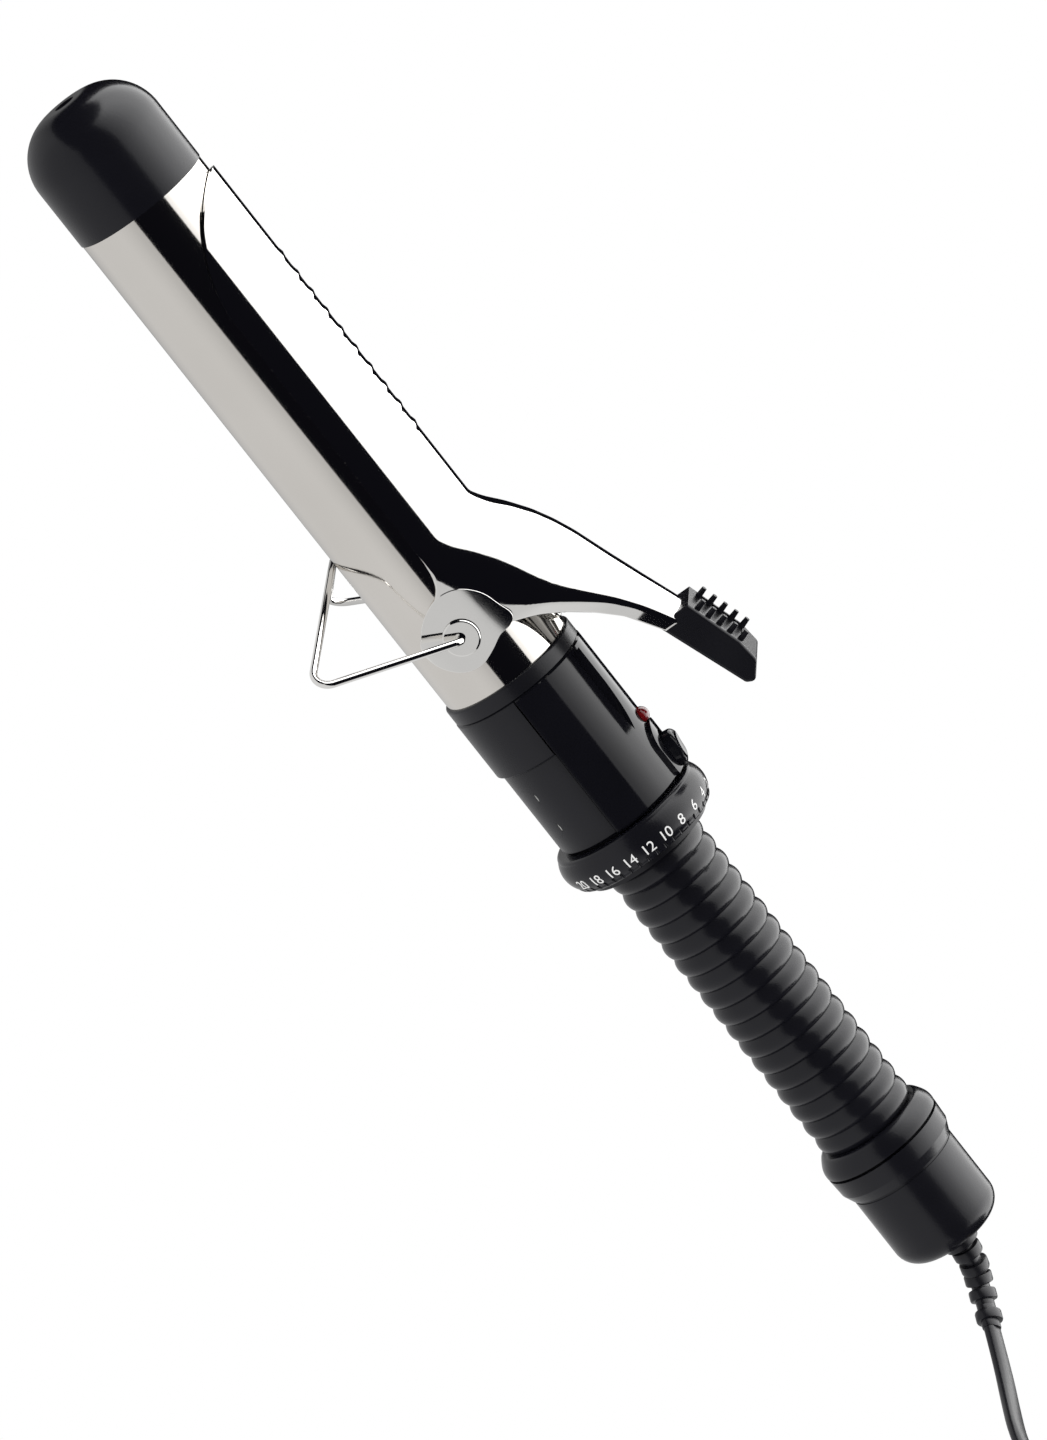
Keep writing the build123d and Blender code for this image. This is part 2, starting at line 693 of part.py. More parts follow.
def make_rocker_switch():
    """Oval rocker with a dished top and a pivot pin moulded through it."""
    top = housing_radius + rocker_rise
    rocker = Pos(rocker_x, 0, rocker_axis_z - 2.4) * extrude(SlotOverall(rocker_length, rocker_width), big)
    crown = Pos(rocker_x, 0, top - 11.0) * Rot(90, 0, 0) * Cylinder(11.0, 3 * rocker_width)
    rocker = rocker & crown
    rim = rocker.faces().sort_by(Axis.Z)[-1].edges()
    rocker = fillet(rim, 1.0)
    dish = Pos(rocker_x, 0, top + 13.2) * Sphere(14.0)
    pin = bar_y(0.9 - running, -rocker_width / 2 - 1.1, rocker_width / 2 + 1.1, x=rocker_x, z=rocker_axis_z)
    heel = bar_y(2.4, -1.6, 1.6, x=rocker_x, z=rocker_axis_z)
    return Pos(rocker_x, 0, rocker_axis_z) * Rot(0, -rocker_tilt, 0) * Pos(-rocker_x, 0, -rocker_axis_z) * (
        rocker - dish + pin + heel
    )


def make_control_board():
    """Circuit board with its triac, capacitor and coil, on the lower half's ribs."""
    high = board_height + board_thickness
    board = block(board_front, board_rear, -board_half_width, board_half_width, board_height, high)
    for x, y in screw_places():
        board -= bar_z(housing_screw_radius + 2.0, -big, big, x=x, y=y)
    triac = block(-40.0, -43.5, 3.2, 5.6, board_height - 5.0, board_height)
    capacitor = block(-45.0, -50.0, -5.2, -1.2, board_height - 6.0, board_height)
    choke = bar_z(2.2, board_height - 4.5, board_height, x=-48.0, y=2.6)
    return board + triac + capacitor + choke


# ---- Dial ----
def make_dial_ring():
    """Crowned temperature ring with fine grip notches on its rear edge."""
    edge = dial_radius - dial_crown
    bore = neck_radius + running
    outline = (
        Line((dial_front, bore), (dial_front, edge - 0.8))
        + ThreePointArc((dial_front, edge - 0.8), (dial_front - 0.3, edge - 0.25), (dial_front - 0.9, edge))
        + ThreePointArc((dial_front - 0.9, edge), (dial_mid, dial_radius), (dial_rear + 0.9, edge))
        + ThreePointArc((dial_rear + 0.9, edge), (dial_rear + 0.3, edge - 0.25), (dial_rear, edge - 0.8))
        + Polyline((dial_rear, edge - 0.8), (dial_rear, bore), (dial_front, bore))
    )
    ring = turned(outline)
    recess = ring_x(wiper_radius, neck_radius - 1, dial_mid + 2.6, dial_mid - 2.6)
    ring -= recess
    notches = []
    for index in range(dial_knurls):
        turn = Rot(360.0 / dial_knurls * index, 0, 0)
        notches.append(turn * bar_x(0.45, dial_rear - 1, dial_rear + 1.6, z=edge + 0.1))
    return ring - notches


def make_dial_track():
    """Curved resistance strip in the neck's groove."""
    low = neck_radius - track_depth + seat_gap
    strip = ring_x(neck_radius - 0.1, low, dial_mid + 2.1, dial_mid - 2.1)
    return strip - block(dial_mid - 4, dial_mid + 4, -6.0, 6.0, 0, big)


def make_dial_wiper():
    """Contact shoe carried inside the ring, just clear of the track."""
    shoe = ring_x(wiper_radius, neck_radius + 0.2, dial_mid + 1.8, dial_mid - 1.8)
    wedge = block(dial_mid - 2, dial_mid + 2, -2.4, 2.4, -big, 0)
    return shoe & wedge


def make_dial_retainer():
    """Split snap ring that keeps the dial on the neck."""
    seat = neck_radius - retainer_depth + seat_gap
    ring = ring_x(neck_radius + 1.3, seat, retainer_front, neck_end + 0.4)
    return ring - block(neck_end - 1, retainer_front + 1, -1.5, 1.5, -big, 0)


# ---- Handle and tail ----
def make_handle_core():
    """Tube from the housing's bulkhead to the tail, with a flange at its front."""
    front = neck_end + bulkhead + 2.0
    rear = tail_end + tail_wall
    core = ring_x(core_radius, core_radius - core_wall, front, rear)
    return core + ring_x(core_radius + 1.6, core_radius - core_wall, front, neck_end + bulkhead + seat_gap)


def make_ribbed_grip():
    """Ribbed sleeve pushed over the core: equal rounded ribs with sharp grooves."""
    pitch = grip_length / grip_ribs
    valley = grip_radius - grip_groove
    outline = Polyline(
        (neck_end, valley), (neck_end, core_radius), (grip_rear, core_radius), (grip_rear, valley)
    )
    for rib in range(grip_ribs):
        rear = grip_rear + pitch * rib
        middle = (rear + pitch * 0.42, grip_radius)
        outline += ThreePointArc((rear, valley), middle, (rear + pitch, valley))
    return turned(outline) - bar_x(core_radius + seat_gap, -big, 0)


def make_tail_cap():
    """Stepped end cap: flared flange, grooves, body with a flat on each side, domed end."""
    start, end = grip_rear - seat_gap, tail_end
    waist = grip_radius + 0.4
    corner = tail_corner * (1 - math.sqrt(0.5))
    outline = (
        Polyline((start, core_radius), (start, waist))
        + Spline(
            (start, waist), (start - 1.2, waist + 1.3), (start - 4.2, tail_flange_radius),
            tangents=[(-0.3, 1), (-1, 0)],
        )
        + Polyline(
            (start - 4.2, tail_flange_radius), (start - 9.6, tail_flange_radius - 0.3),
            (start - 12.6, tail_radius), (end + tail_corner, tail_radius),
        )
        + ThreePointArc(
            (end + tail_corner, tail_radius),
            (end + corner, tail_radius - corner),
            (end, tail_radius - tail_corner),
        )
        + Polyline(
            (end, tail_radius - tail_corner), (end, relief_root_radius + 0.1),
            (end + tail_wall, relief_root_radius + 0.1), (end + tail_wall, core_radius),
            (start, core_radius),
        )
    )
    cap = turned(outline) - bar_x(core_radius + seat_gap, end + tail_wall, 0)
    for x in (start - 4.9, start - 12.4):
        cap -= ring_x(big, tail_radius - 0.2, x + 0.35, x - 0.35)
    screw = bar_z(1.6, -big, 0, x=tail_screw_x) + bar_z(2.6, -big, -tail_screw_seat, x=tail_screw_x)
    return cap - screw


def make_tail_screw():
    """Short screw from below, through the cap into the core."""
    head = bar_z(2.4, -tail_screw_seat - 1.5, -tail_screw_seat, x=tail_screw_x)
    slot = block(tail_screw_x - 1.5, tail_screw_x + 1.5, -0.3, 0.3, -big, -tail_screw_seat - 0.8)
    return head - slot + bar_z(1.4, -tail_screw_seat, -core_radius - 0.1, x=tail_screw_x)


def make_cord_clamp():
    """Two-part clamp block in the core that grips the cord's conductors."""
    front = tail_end + tail_wall + 10.0
    block_shape = bar_x(core_radius - core_wall - seat_gap, front, front - 5.0)
    for side in (-1, 1):
        block_shape -= bar_x(lead_radius + seat_gap, -big, 0, y=side * lead_spread)
    return block_shape


def make_mains_leads():
    """The cord's two conductors, from the strain relief to the board's end."""
    rear = tail_end + tail_wall + 2.0
    front = switch_rear - seat_gap
    return [bar_x(lead_radius, rear, front, y=side * lead_spread) for side in (-1, 1)]


def make_heater_leads():
    """Two sleeved leads from the board's front edge to the heating plate."""
    high = board_height + board_thickness + 0.8
    leads = []
    for side in (-4.0, 4.0):
        points = [
            (board_front - 0.5, side, high), (-30.0, side, high),
            (-12.0, side, 0), (heater_start - 3.0, side, 0),
        ]
        path = FilletPolyline(*points, radius=4.0)
        start = Plane(origin=path @ 0, z_dir=path % 0)
        leads.append(sweep(start * Circle(0.8), path=path))
    return leads


# ---- Standing the iron up ----
def lowest(shape):
    return shape.bounding_box().min.Z


def standing_tilt(stand, tail):
    """The tilt, tip upwards, at which the stand's feet and the tail touch one floor."""
    tilt = 0.0
    for _ in range(5):
        turn = Rot(0, -tilt, 0)
        gap = lowest(turn * tail) - lowest(turn * stand)
        tilt += math.degrees(math.atan2(gap, foot_reach - grip_rear))
    return tilt


def standing_place(tilt, shapes):
    """The move that puts the tilted iron on the floor, its footprint centred on the origin."""
    turn = Rot(0, -tilt, 0)
    boxes = [(turn * shape).bounding_box() for shape in shapes]
    front = max(box.max.X for box in boxes)
    rear = min(box.min.X for box in boxes)
    floor = min(box.min.Z for box in boxes)
    return Pos(-(front + rear) / 2, 0, -floor) * turn


def placed_point(place, x):
    """Where a point on the barrel's axis goes when the iron stands."""
    return (place * Pos(x, 0, 0)).position


# ---- Cord, coil and plug, in the standing frame ----
def smooth_path(route):
    """Straight runs joined by the largest arcs that they allow; prints the arcs' radii."""
    points = [Vector(*point) for point in route]
    radii = []
    for before, corner, after in zip(points, points[1:], points[2:]):
        turn = math.radians((corner - before).get_angle(after - corner))
        run = min((corner - before).length, (after - corner).length)
        radii.append(0.45 * run / math.tan(turn / 2))
    print("arc radii in diameters:", [round(radius / (2 * cord_radius), 1) for radius in radii])
    return FilletPolyline(*points, radius=radii)


def round_tube(route):
    """A round tube along a smooth path; prints its volume against section times length."""
    path = smooth_path(route)
    start = Plane(origin=path @ 0, z_dir=path % 0)
    tube = sweep(start * Circle(cord_radius), path=path)
    expected = math.pi * cord_radius**2 * path.length
    print("cord length", round(path.length, 1), "volume ratio", round(tube.volume / expected, 3))
    return tube


def make_coil_tie():
    """Flat band round the coil's turns."""
    inside = coil_inner_radius, coil_outer_radius
    outer = block(inside[0] - tie_thickness, inside[1] + tie_thickness, -tie_width / 2, tie_width / 2,
                  0, coil_height + tie_thickness)
    hole = block(inside[0], inside[1], -tie_width, tie_width, tie_thickness, coil_height)
    return Pos(*coil_centre, 0) * Rot(0, 0, tie_angle) * (outer - hole)


def make_cord_coil():
    """The outer shape of the wound cord: a low ring with rounded edges, nipped by its tie."""
    ring = Cylinder(coil_outer_radius, coil_height) - Cylinder(coil_inner_radius, coil_height + 2)
    ring = fillet(ring.edges().filter_by(GeomType.CIRCLE), cord_radius * 0.7)
    return Pos(*coil_centre, coil_height / 2) * ring - make_coil_tie()


def make_power_cord():
    return round_tube(cord_route) - make_cord_coil()


def make_plug_lead():
    return round_tube(lead_route) - make_cord_coil()


def plug_place():
    """Where the plug's own frame goes: its cord end at the origin, blades along +X."""
    return Pos(*lead_route[-1]) * Rot(0, 0, plug_heading)


def make_plug_body():
    """Moulded two-blade plug: tapered cord end and a body with pulled-in sides."""
    relief = Pos(plug_relief_length / 2, 0, 0) * Rot(0, 90, 0) * Cone(
        relief_tip_radius, relief_root_radius + 0.6, plug_relief_length
    )
    start, end = plug_relief_length - 1.0, plug_relief_length + plug_body_length
    body = block(start, end, -plug_width / 2, plug_width / 2, -plug_height / 2, plug_height / 2)
    body = fillet(body.edges().filter_by(Axis.X), 4.0)
    body = fillet(body.faces().sort_by(Axis.X)[0].edges(), 3.0)
    waist = end - 9.0
    for side in (-1, 1):
        body -= Pos(waist, side * (plug_width / 2 + 11.5), 0) * Cylinder(13.0, 40)
    return plug_place() * (relief + body)


def make_plug_blades():
    """Two flat blades with rounded ends and a hole in each."""
    start = plug_relief_length + plug_body_length
    blades = []
    for side in (-1, 1):
        outline = Pos(start + blade_length / 2, side * blade_spacing / 2, 0) * Box(
            blade_length, blade_thickness, blade_width
        )
        blade = fillet(outline.edges().filter_by(Axis.Y).sort_by(Axis.X)[-2:], 2.2)
        blade -= bar_y(1.6, -big, big, x=start + blade_length - 4.5)
        blades.append(plug_place() * blade)
    return blades


def make_strain_relief(place):
    """Tapered relief: a flange inside the tail, and a tapering tube that droops with the cord."""
    inside = tail_end + tail_wall
    flange = bar_x(relief_flange_radius, inside, inside + relief_flange)
    neck = place * (flange + bar_x(relief_root_radius, tail_end, inside))
    root = placed_point(place, tail_end)
    heading = placed_point(place, tail_end - 1) - root
    tip = Vector(*cord_route[0])
    tip_heading = (Vector(*cord_route[1]) - tip).normalized()
    line = Spline(root, tip, tangents=[heading, tip_heading])
    sections = []
    for share in (0.0, 0.25, 0.5, 0.75, 1.0):
        radius = relief_root_radius + (relief_tip_radius - relief_root_radius) * share
        sections.append(Plane(origin=line @ share, z_dir=line % share) * Circle(radius))
    return neck + loft(sections)


# ---- Export ----
def export(name, shape):
    if isinstance(shape, list):
        shape = Compound(children=shape)
    export_step(shape, f"parts/{name}.step")


iron = {
    "cool_tip": make_cool_tip(),
    "tip_plug": make_tip_plug(),
    "tip_screw": make_tip_screw(),
    "barrel_tube": make_barrel_tube(),
    "heater_spreader_upper": heater_spreader(1),
    "heater_spreader_lower": heater_spreader(-1),
    "heater_plate": make_heater_plate(),
    "core_clips": make_core_clips(),
    "thermal_fuse": make_thermal_fuse(),
    "temperature_sensor": make_temperature_sensor(),
    "barrel_bush": make_barrel_bush(),
    "hinge_rivets": make_hinge_rivets(),
    "clip_lever": make_clip_lever(),
    "thumb_rest": make_thumb_rest(),
    "clip_spring": make_clip_spring(),
    "spring_post": make_spring_post(),
    "stand_wire": make_stand_wire(),
    "front_collar": make_front_collar(),
    "upper_housing": make_upper_housing(),
    "lower_housing": make_lower_housing(),
    "housing_screws": make_housing_screws(),
    "screw_covers": make_screw_covers(),
    "indicator_lens": make_indicator_lens(),
    "indicator_lamp": make_indicator_lamp(),
    "switch_body": make_switch_body(),
    "rocker_switch": make_rocker_switch(),
    "control_board": make_control_board(),
    "dial_ring": make_dial_ring(),
    "dial_track": make_dial_track(),
    "dial_wiper": make_dial_wiper(),
    "dial_retainer": make_dial_retainer(),
    "handle_core": make_handle_core(),
    "ribbed_grip": make_ribbed_grip(),
    "tail_cap": make_tail_cap(),
    "tail_screw": make_tail_screw(),
    "cord_clamp": make_cord_clamp(),
    "mains_leads": make_mains_leads(),
    "heater_leads": make_heater_leads(),
}
tilt = standing_tilt(iron["stand_wire"], iron["tail_cap"])
place = standing_place(tilt, [iron["cool_tip"], iron["tail_cap"], iron["stand_wire"]])
print("tilt", round(tilt, 3), "hinge", placed_point(place, 0), "tail", placed_point(place, tail_end))
for name, shape in iron.items():
    if isinstance(shape, list):
        export(name, [place * piece for piece in shape])
    else:
        export(name, place * shape)

export("strain_relief", make_strain_relief(place))
export("power_cord", make_power_cord())
export("cord_coil", make_cord_coil())
export("coil_tie", make_coil_tie())
export("plug_lead", make_plug_lead())
export("plug_body", make_plug_body())
export("plug_blades", make_plug_blades())
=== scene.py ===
# %% [markdown]
# # A curling iron, finished in Blender
# The iron's solid parts arrive from the CAD model already in place. This lesson adds what CAD
# is slow at: the pressed sheet-metal clip, the wound mains cord, the printed numbers, and the
# chrome, plastics and rubber. Everything is in metres, in the frame that the model stands in.

import json
import math

import bpy
from mathutils import Matrix, Vector


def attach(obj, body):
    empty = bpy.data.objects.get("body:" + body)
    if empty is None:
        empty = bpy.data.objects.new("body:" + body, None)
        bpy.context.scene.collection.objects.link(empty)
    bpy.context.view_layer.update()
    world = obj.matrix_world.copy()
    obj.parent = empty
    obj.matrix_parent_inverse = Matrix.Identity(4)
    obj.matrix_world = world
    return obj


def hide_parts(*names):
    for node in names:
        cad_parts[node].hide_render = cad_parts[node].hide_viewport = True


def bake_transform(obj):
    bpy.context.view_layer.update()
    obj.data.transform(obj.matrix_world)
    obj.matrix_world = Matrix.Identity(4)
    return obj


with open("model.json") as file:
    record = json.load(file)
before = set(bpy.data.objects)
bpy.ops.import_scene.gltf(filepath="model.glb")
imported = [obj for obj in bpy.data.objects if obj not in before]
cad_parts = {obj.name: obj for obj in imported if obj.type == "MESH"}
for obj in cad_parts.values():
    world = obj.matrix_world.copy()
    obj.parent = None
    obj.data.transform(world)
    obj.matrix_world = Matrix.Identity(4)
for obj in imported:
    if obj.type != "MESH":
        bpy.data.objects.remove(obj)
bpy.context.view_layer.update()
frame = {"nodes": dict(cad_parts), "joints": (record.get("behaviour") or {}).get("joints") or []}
mm = 0.001
print("parts loaded:", len(frame["nodes"]))

# %% [markdown]
# The iron leans a little, tip up, on its wire stand. Shapes are far easier to make level and
# centred, so each new piece is built with the hinge at the origin and the barrel along +X, and
# is then stood up by one matrix. The hinge joint gives that matrix its place, and the dial's
# joint gives the barrel's direction.

# %% Where the iron stands
joints = {joint["name"]: joint for joint in frame["joints"]}
hinge = Vector(joints["clip_hinge"]["pos_m"])
barrel_direction = Vector(joints["dial_turn"]["axis"])
tilt = math.atan2(barrel_direction.z, barrel_direction.x)
iron_place = Matrix.Translation(hinge) @ Matrix.Rotation(-tilt, 4, "Y")
print("tilt in degrees:", round(math.degrees(tilt), 2))

# %% [markdown]
# ## Camera
# A long lens from nearly two metres away keeps the iron's sides close to parallel, as in a
# catalogue shot. The camera looks a little down, from beyond the iron's near side, and is
# rolled so that the iron runs down across the frame.

# %% Place the camera
camera_target = Vector((-0.0073, 0.0, 0.0213))
camera_distance = 1.8753
camera_azimuth = math.radians(77.123)
camera_elevation = math.radians(14.240)
camera_roll = math.radians(49.956)

towards_camera = Vector((
    math.cos(camera_elevation) * math.cos(camera_azimuth),
    math.cos(camera_elevation) * math.sin(camera_azimuth),
    math.sin(camera_elevation),
))
level_right = Vector((0, 0, 1)).cross(towards_camera).normalized()
level_up = towards_camera.cross(level_right)
right = level_right * math.cos(camera_roll) + level_up * math.sin(camera_roll)
up = towards_camera.cross(right)

camera_data = bpy.data.cameras.new("camera")
camera_data.lens = 214.55
camera_data.sensor_width = 36.0
camera = bpy.data.objects.new("camera", camera_data)
bpy.context.scene.collection.objects.link(camera)
turn = Matrix((right, up, towards_camera)).transposed().to_4x4()
camera.matrix_world = Matrix.Translation(camera_target + towards_camera * camera_distance) @ turn
bpy.context.scene.camera = camera
print("camera at", [round(value, 3) for value in camera.matrix_world.translation])

# %% [markdown]
# ## Helpers
# Operators act on whatever is selected, so every piece starts from an empty selection.


# %% Selection and placing helpers
def select_only(*pieces):
    """Object mode, with only these pieces selected and the first one active."""
    if bpy.context.object and bpy.context.object.mode != "OBJECT":
        bpy.ops.object.mode_set(mode="OBJECT")
    bpy.ops.object.select_all(action="DESELECT")
    for piece in pieces:
        piece.select_set(True)
    if pieces:
        bpy.context.view_layer.objects.active = pieces[0]


def new_piece(name):
    """Names the object that the last operator made, and puts its place into its mesh."""
    piece = bpy.context.object
    piece.name = name
    piece.data.name = name
    select_only(piece)
    if piece.type in {"CURVE", "FONT"}:
        bpy.ops.object.convert(target="MESH")
        piece = bpy.context.object
    bpy.ops.object.transform_apply(location=True, rotation=True, scale=True)
    return piece


def select_faces(piece, wanted):
    """Edit mode, with the faces for which wanted(centre, normal) is true."""
    select_only(piece)
    bpy.ops.object.mode_set(mode="EDIT")
    bpy.ops.mesh.select_mode(type="FACE")
    bpy.ops.mesh.select_all(action="DESELECT")
    bpy.ops.object.mode_set(mode="OBJECT")
    for face in piece.data.polygons:
        face.select = wanted(face.center, face.normal)
    bpy.ops.object.mode_set(mode="EDIT")


def modify(piece, kind, **settings):
    """Adds one modifier and applies it."""
    select_only(piece)
    modifier = piece.modifiers.new(kind.title(), kind)
    for name, value in settings.items():
        setattr(modifier, name, value)
    bpy.ops.object.modifier_apply(modifier=modifier.name)


def soften(piece, width, segments=2, angle=40):
    """Rounds the edges that are sharper than an angle."""
    modify(
        piece, "BEVEL", width=width, segments=segments, limit_method="ANGLE",
        angle_limit=math.radians(angle), use_clamp_overlap=True,
    )


def join(name, pieces):
    """One piece made of several."""
    select_only(*pieces)
    if len(pieces) > 1:
        bpy.ops.object.join()
    piece = bpy.context.object
    piece.name = name
    piece.data.name = name
    return piece


def stand_up(piece):
    """Moves a mesh made around the hinge to where the iron stands."""
    piece.data.transform(iron_place)
    return piece


def finish_piece(piece, body, finish, stands_for=(), smooth=35):
    """Shades a piece, gives it its finish and hands it to the body that carries it."""
    select_only(piece)
    bpy.ops.object.shade_smooth_by_angle(angle=math.radians(smooth))
    piece.data.materials.clear()
    piece.data.materials.append(finish)
    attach(piece, body)
    if stands_for:
        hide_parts(*stands_for)
    faces = len(piece.data.polygons)
    print(f"{piece.name}: {faces} faces, rides on {body}")
    return piece


# %% [markdown]
# ## The cord
# The mains cord is a flat twin lead, 5.2 mm wide and 2.6 mm thick, about 1.7 m long. It droops
# from the tail to the floor, runs round to one side, and its length is wound in two layers of
# four turns, tied in one place, with the plug resting on top. One smooth NURBS line carries it
# all: a few listed points where it lies free, and a circle of points for each turn.

# %% The cord's line
cord_thickness = 2.6 * mm
cord_route = [
    (-179.6, 5.6, 6.2), (-187.2, 14.2, 3.2), (-191.2, 27.0, 1.9), (-193.6, 41.0, 1.9),
    (-201.0, 52.0, 1.9), (-214.0, 59.5, 1.9), (-230.5, 61.3, 1.9),
]
lead_route = [
    (-248.0, 59.1, 4.6), (-264.0, 56.5, 7.8), (-275.5, 46.5, 11.4), (-279.0, 32.0, 13.1),
    (-277.0, 19.0, 13.1),
]
coil_centre = Vector((-247.0, 20.0))
outer_turn = 39.1
turn_step = 5.4
turns_per_layer = 4
points_per_turn = 16
layer_heights = (1.4, 4.2)
step_share = 0.25


def turn_radius(turns):
    """The line's distance from the coil's middle: level turns, each stepping in near its end."""
    whole = math.floor(turns)
    share = min(max((turns - whole - 1 + step_share) / step_share, 0.0), 1.0)
    step = whole + share * share * (3 - 2 * share)
    return outer_turn - turn_step * min(step, turns_per_layer - 1)


coil_route = []
for index in range(points_per_turn * turns_per_layer * 2):
    turns = index / points_per_turn
    low = turns < turns_per_layer
    radius = turn_radius(turns) if low else turn_radius(2 * turns_per_layer - turns - 0.001)
    climb = min(max((turns - turns_per_layer + step_share) / step_share, 0.0), 1.0)
    height = layer_heights[0] + (layer_heights[1] - layer_heights[0]) * climb
    angle = math.radians(90) + 2 * math.pi * turns
    coil_route.append((
        coil_centre.x + radius * math.cos(angle), coil_centre.y + radius * math.sin(angle), height
    ))
print("points in the coil:", len(coil_route))


# %% A curve from the line, and its flat twin section
def smooth_line(name, route):
    """One open NURBS spline through space, from points in millimetres."""
    data = bpy.data.curves.new(name, "CURVE")
    data.dimensions = "3D"
    data.twist_mode = "Z_UP"
    data.resolution_u = 5
    spline = data.splines.new("NURBS")
    spline.points.add(len(route) - 1)
    for point, place in zip(spline.points, route):
        point.co = (*(Vector(place) * mm), 1.0)
    spline.order_u = 3
    spline.use_endpoint_u = True
    line = bpy.data.objects.new(name, data)
    bpy.context.scene.collection.objects.link(line)
    return line


def line_points(line):
    """The smooth line itself, as points close together."""
    mesh = bpy.data.meshes.new_from_object(line)
    points = [vertex.co.copy() for vertex in mesh.vertices]
    bpy.data.meshes.remove(mesh)
    return points


def line_length(points):
    return sum((after - before).length for before, after in zip(points, points[1:]))


cord_line = smooth_line("power_lead", cord_route + coil_route + lead_route)
cord_points = line_points(cord_line)
cord_length = line_length(cord_points)
print("cord length:", round(cord_length, 3), "m")

section_data = bpy.data.curves.new("cord_section", "CURVE")
section_data.dimensions = "2D"
section = section_data.splines.new("POLY")
lobe = cord_thickness / 2
lobe_steps = 8
waist_angle = 75
section_points = []
for side in (1, -1):
    for step in range(lobe_steps + 1):
        angle = math.radians(waist_angle * (2 * step / lobe_steps - 1))
        angle += 0 if side > 0 else math.pi
        section_points.append((side * lobe + lobe * math.cos(angle), lobe * math.sin(angle)))
section.points.add(len(section_points) - 1)
for point, (across, upward) in zip(section.points, section_points):
    point.co = (across, upward, 0.0, 1.0)
section.use_cyclic_u = True
cord_section = bpy.data.objects.new("cord_section", section_data)
bpy.context.scene.collection.objects.link(cord_section)
cord_line.data.bevel_mode = "OBJECT"
cord_line.data.bevel_object = cord_section
cord_line.data.use_fill_caps = True
select_only(cord_line)
bpy.ops.object.convert(target="MESH")
power_lead = bpy.context.object
bpy.data.objects.remove(cord_section)
heights = [vertex.co.z for vertex in power_lead.data.vertices]
print("cord lowest and highest, mm:", round(min(heights) / mm, 2), round(max(heights) / mm, 2))

# %% [markdown]
# ## Shader maths in Python
# A material is easier to read as an expression than as a row of boxes. `Wire` wraps one output,
# and `+ - * /` on it add the Math node that does the sum. `Finish` starts a material from the
# values that are the same all over, and its `node` method adds any other node.


# %% The Wire and Finish classes
class Wire:
    """A shader output that Python's operators work on."""

    def __init__(self, finish, socket):
        self.finish = finish
        self.socket = socket

    def maths(self, operation, first, second=0.0):
        made = self.finish.node("Math", {"operation": operation}, first, second)
        return Wire(self.finish, made.outputs[0])

    def __add__(self, other):
        return self.maths("ADD", self, other)

    def __radd__(self, other):
        return self.maths("ADD", other, self)

    def __sub__(self, other):
        return self.maths("SUBTRACT", self, other)

    def __rsub__(self, other):
        return self.maths("SUBTRACT", other, self)

    def __mul__(self, other):
        return self.maths("MULTIPLY", self, other)

    def __rmul__(self, other):
        return self.maths("MULTIPLY", other, self)

    def __truediv__(self, other):
        return self.maths("DIVIDE", self, other)

    def __gt__(self, other):
        return self.maths("GREATER_THAN", self, other)

    def sine(self):
        return self.maths("SINE", self)


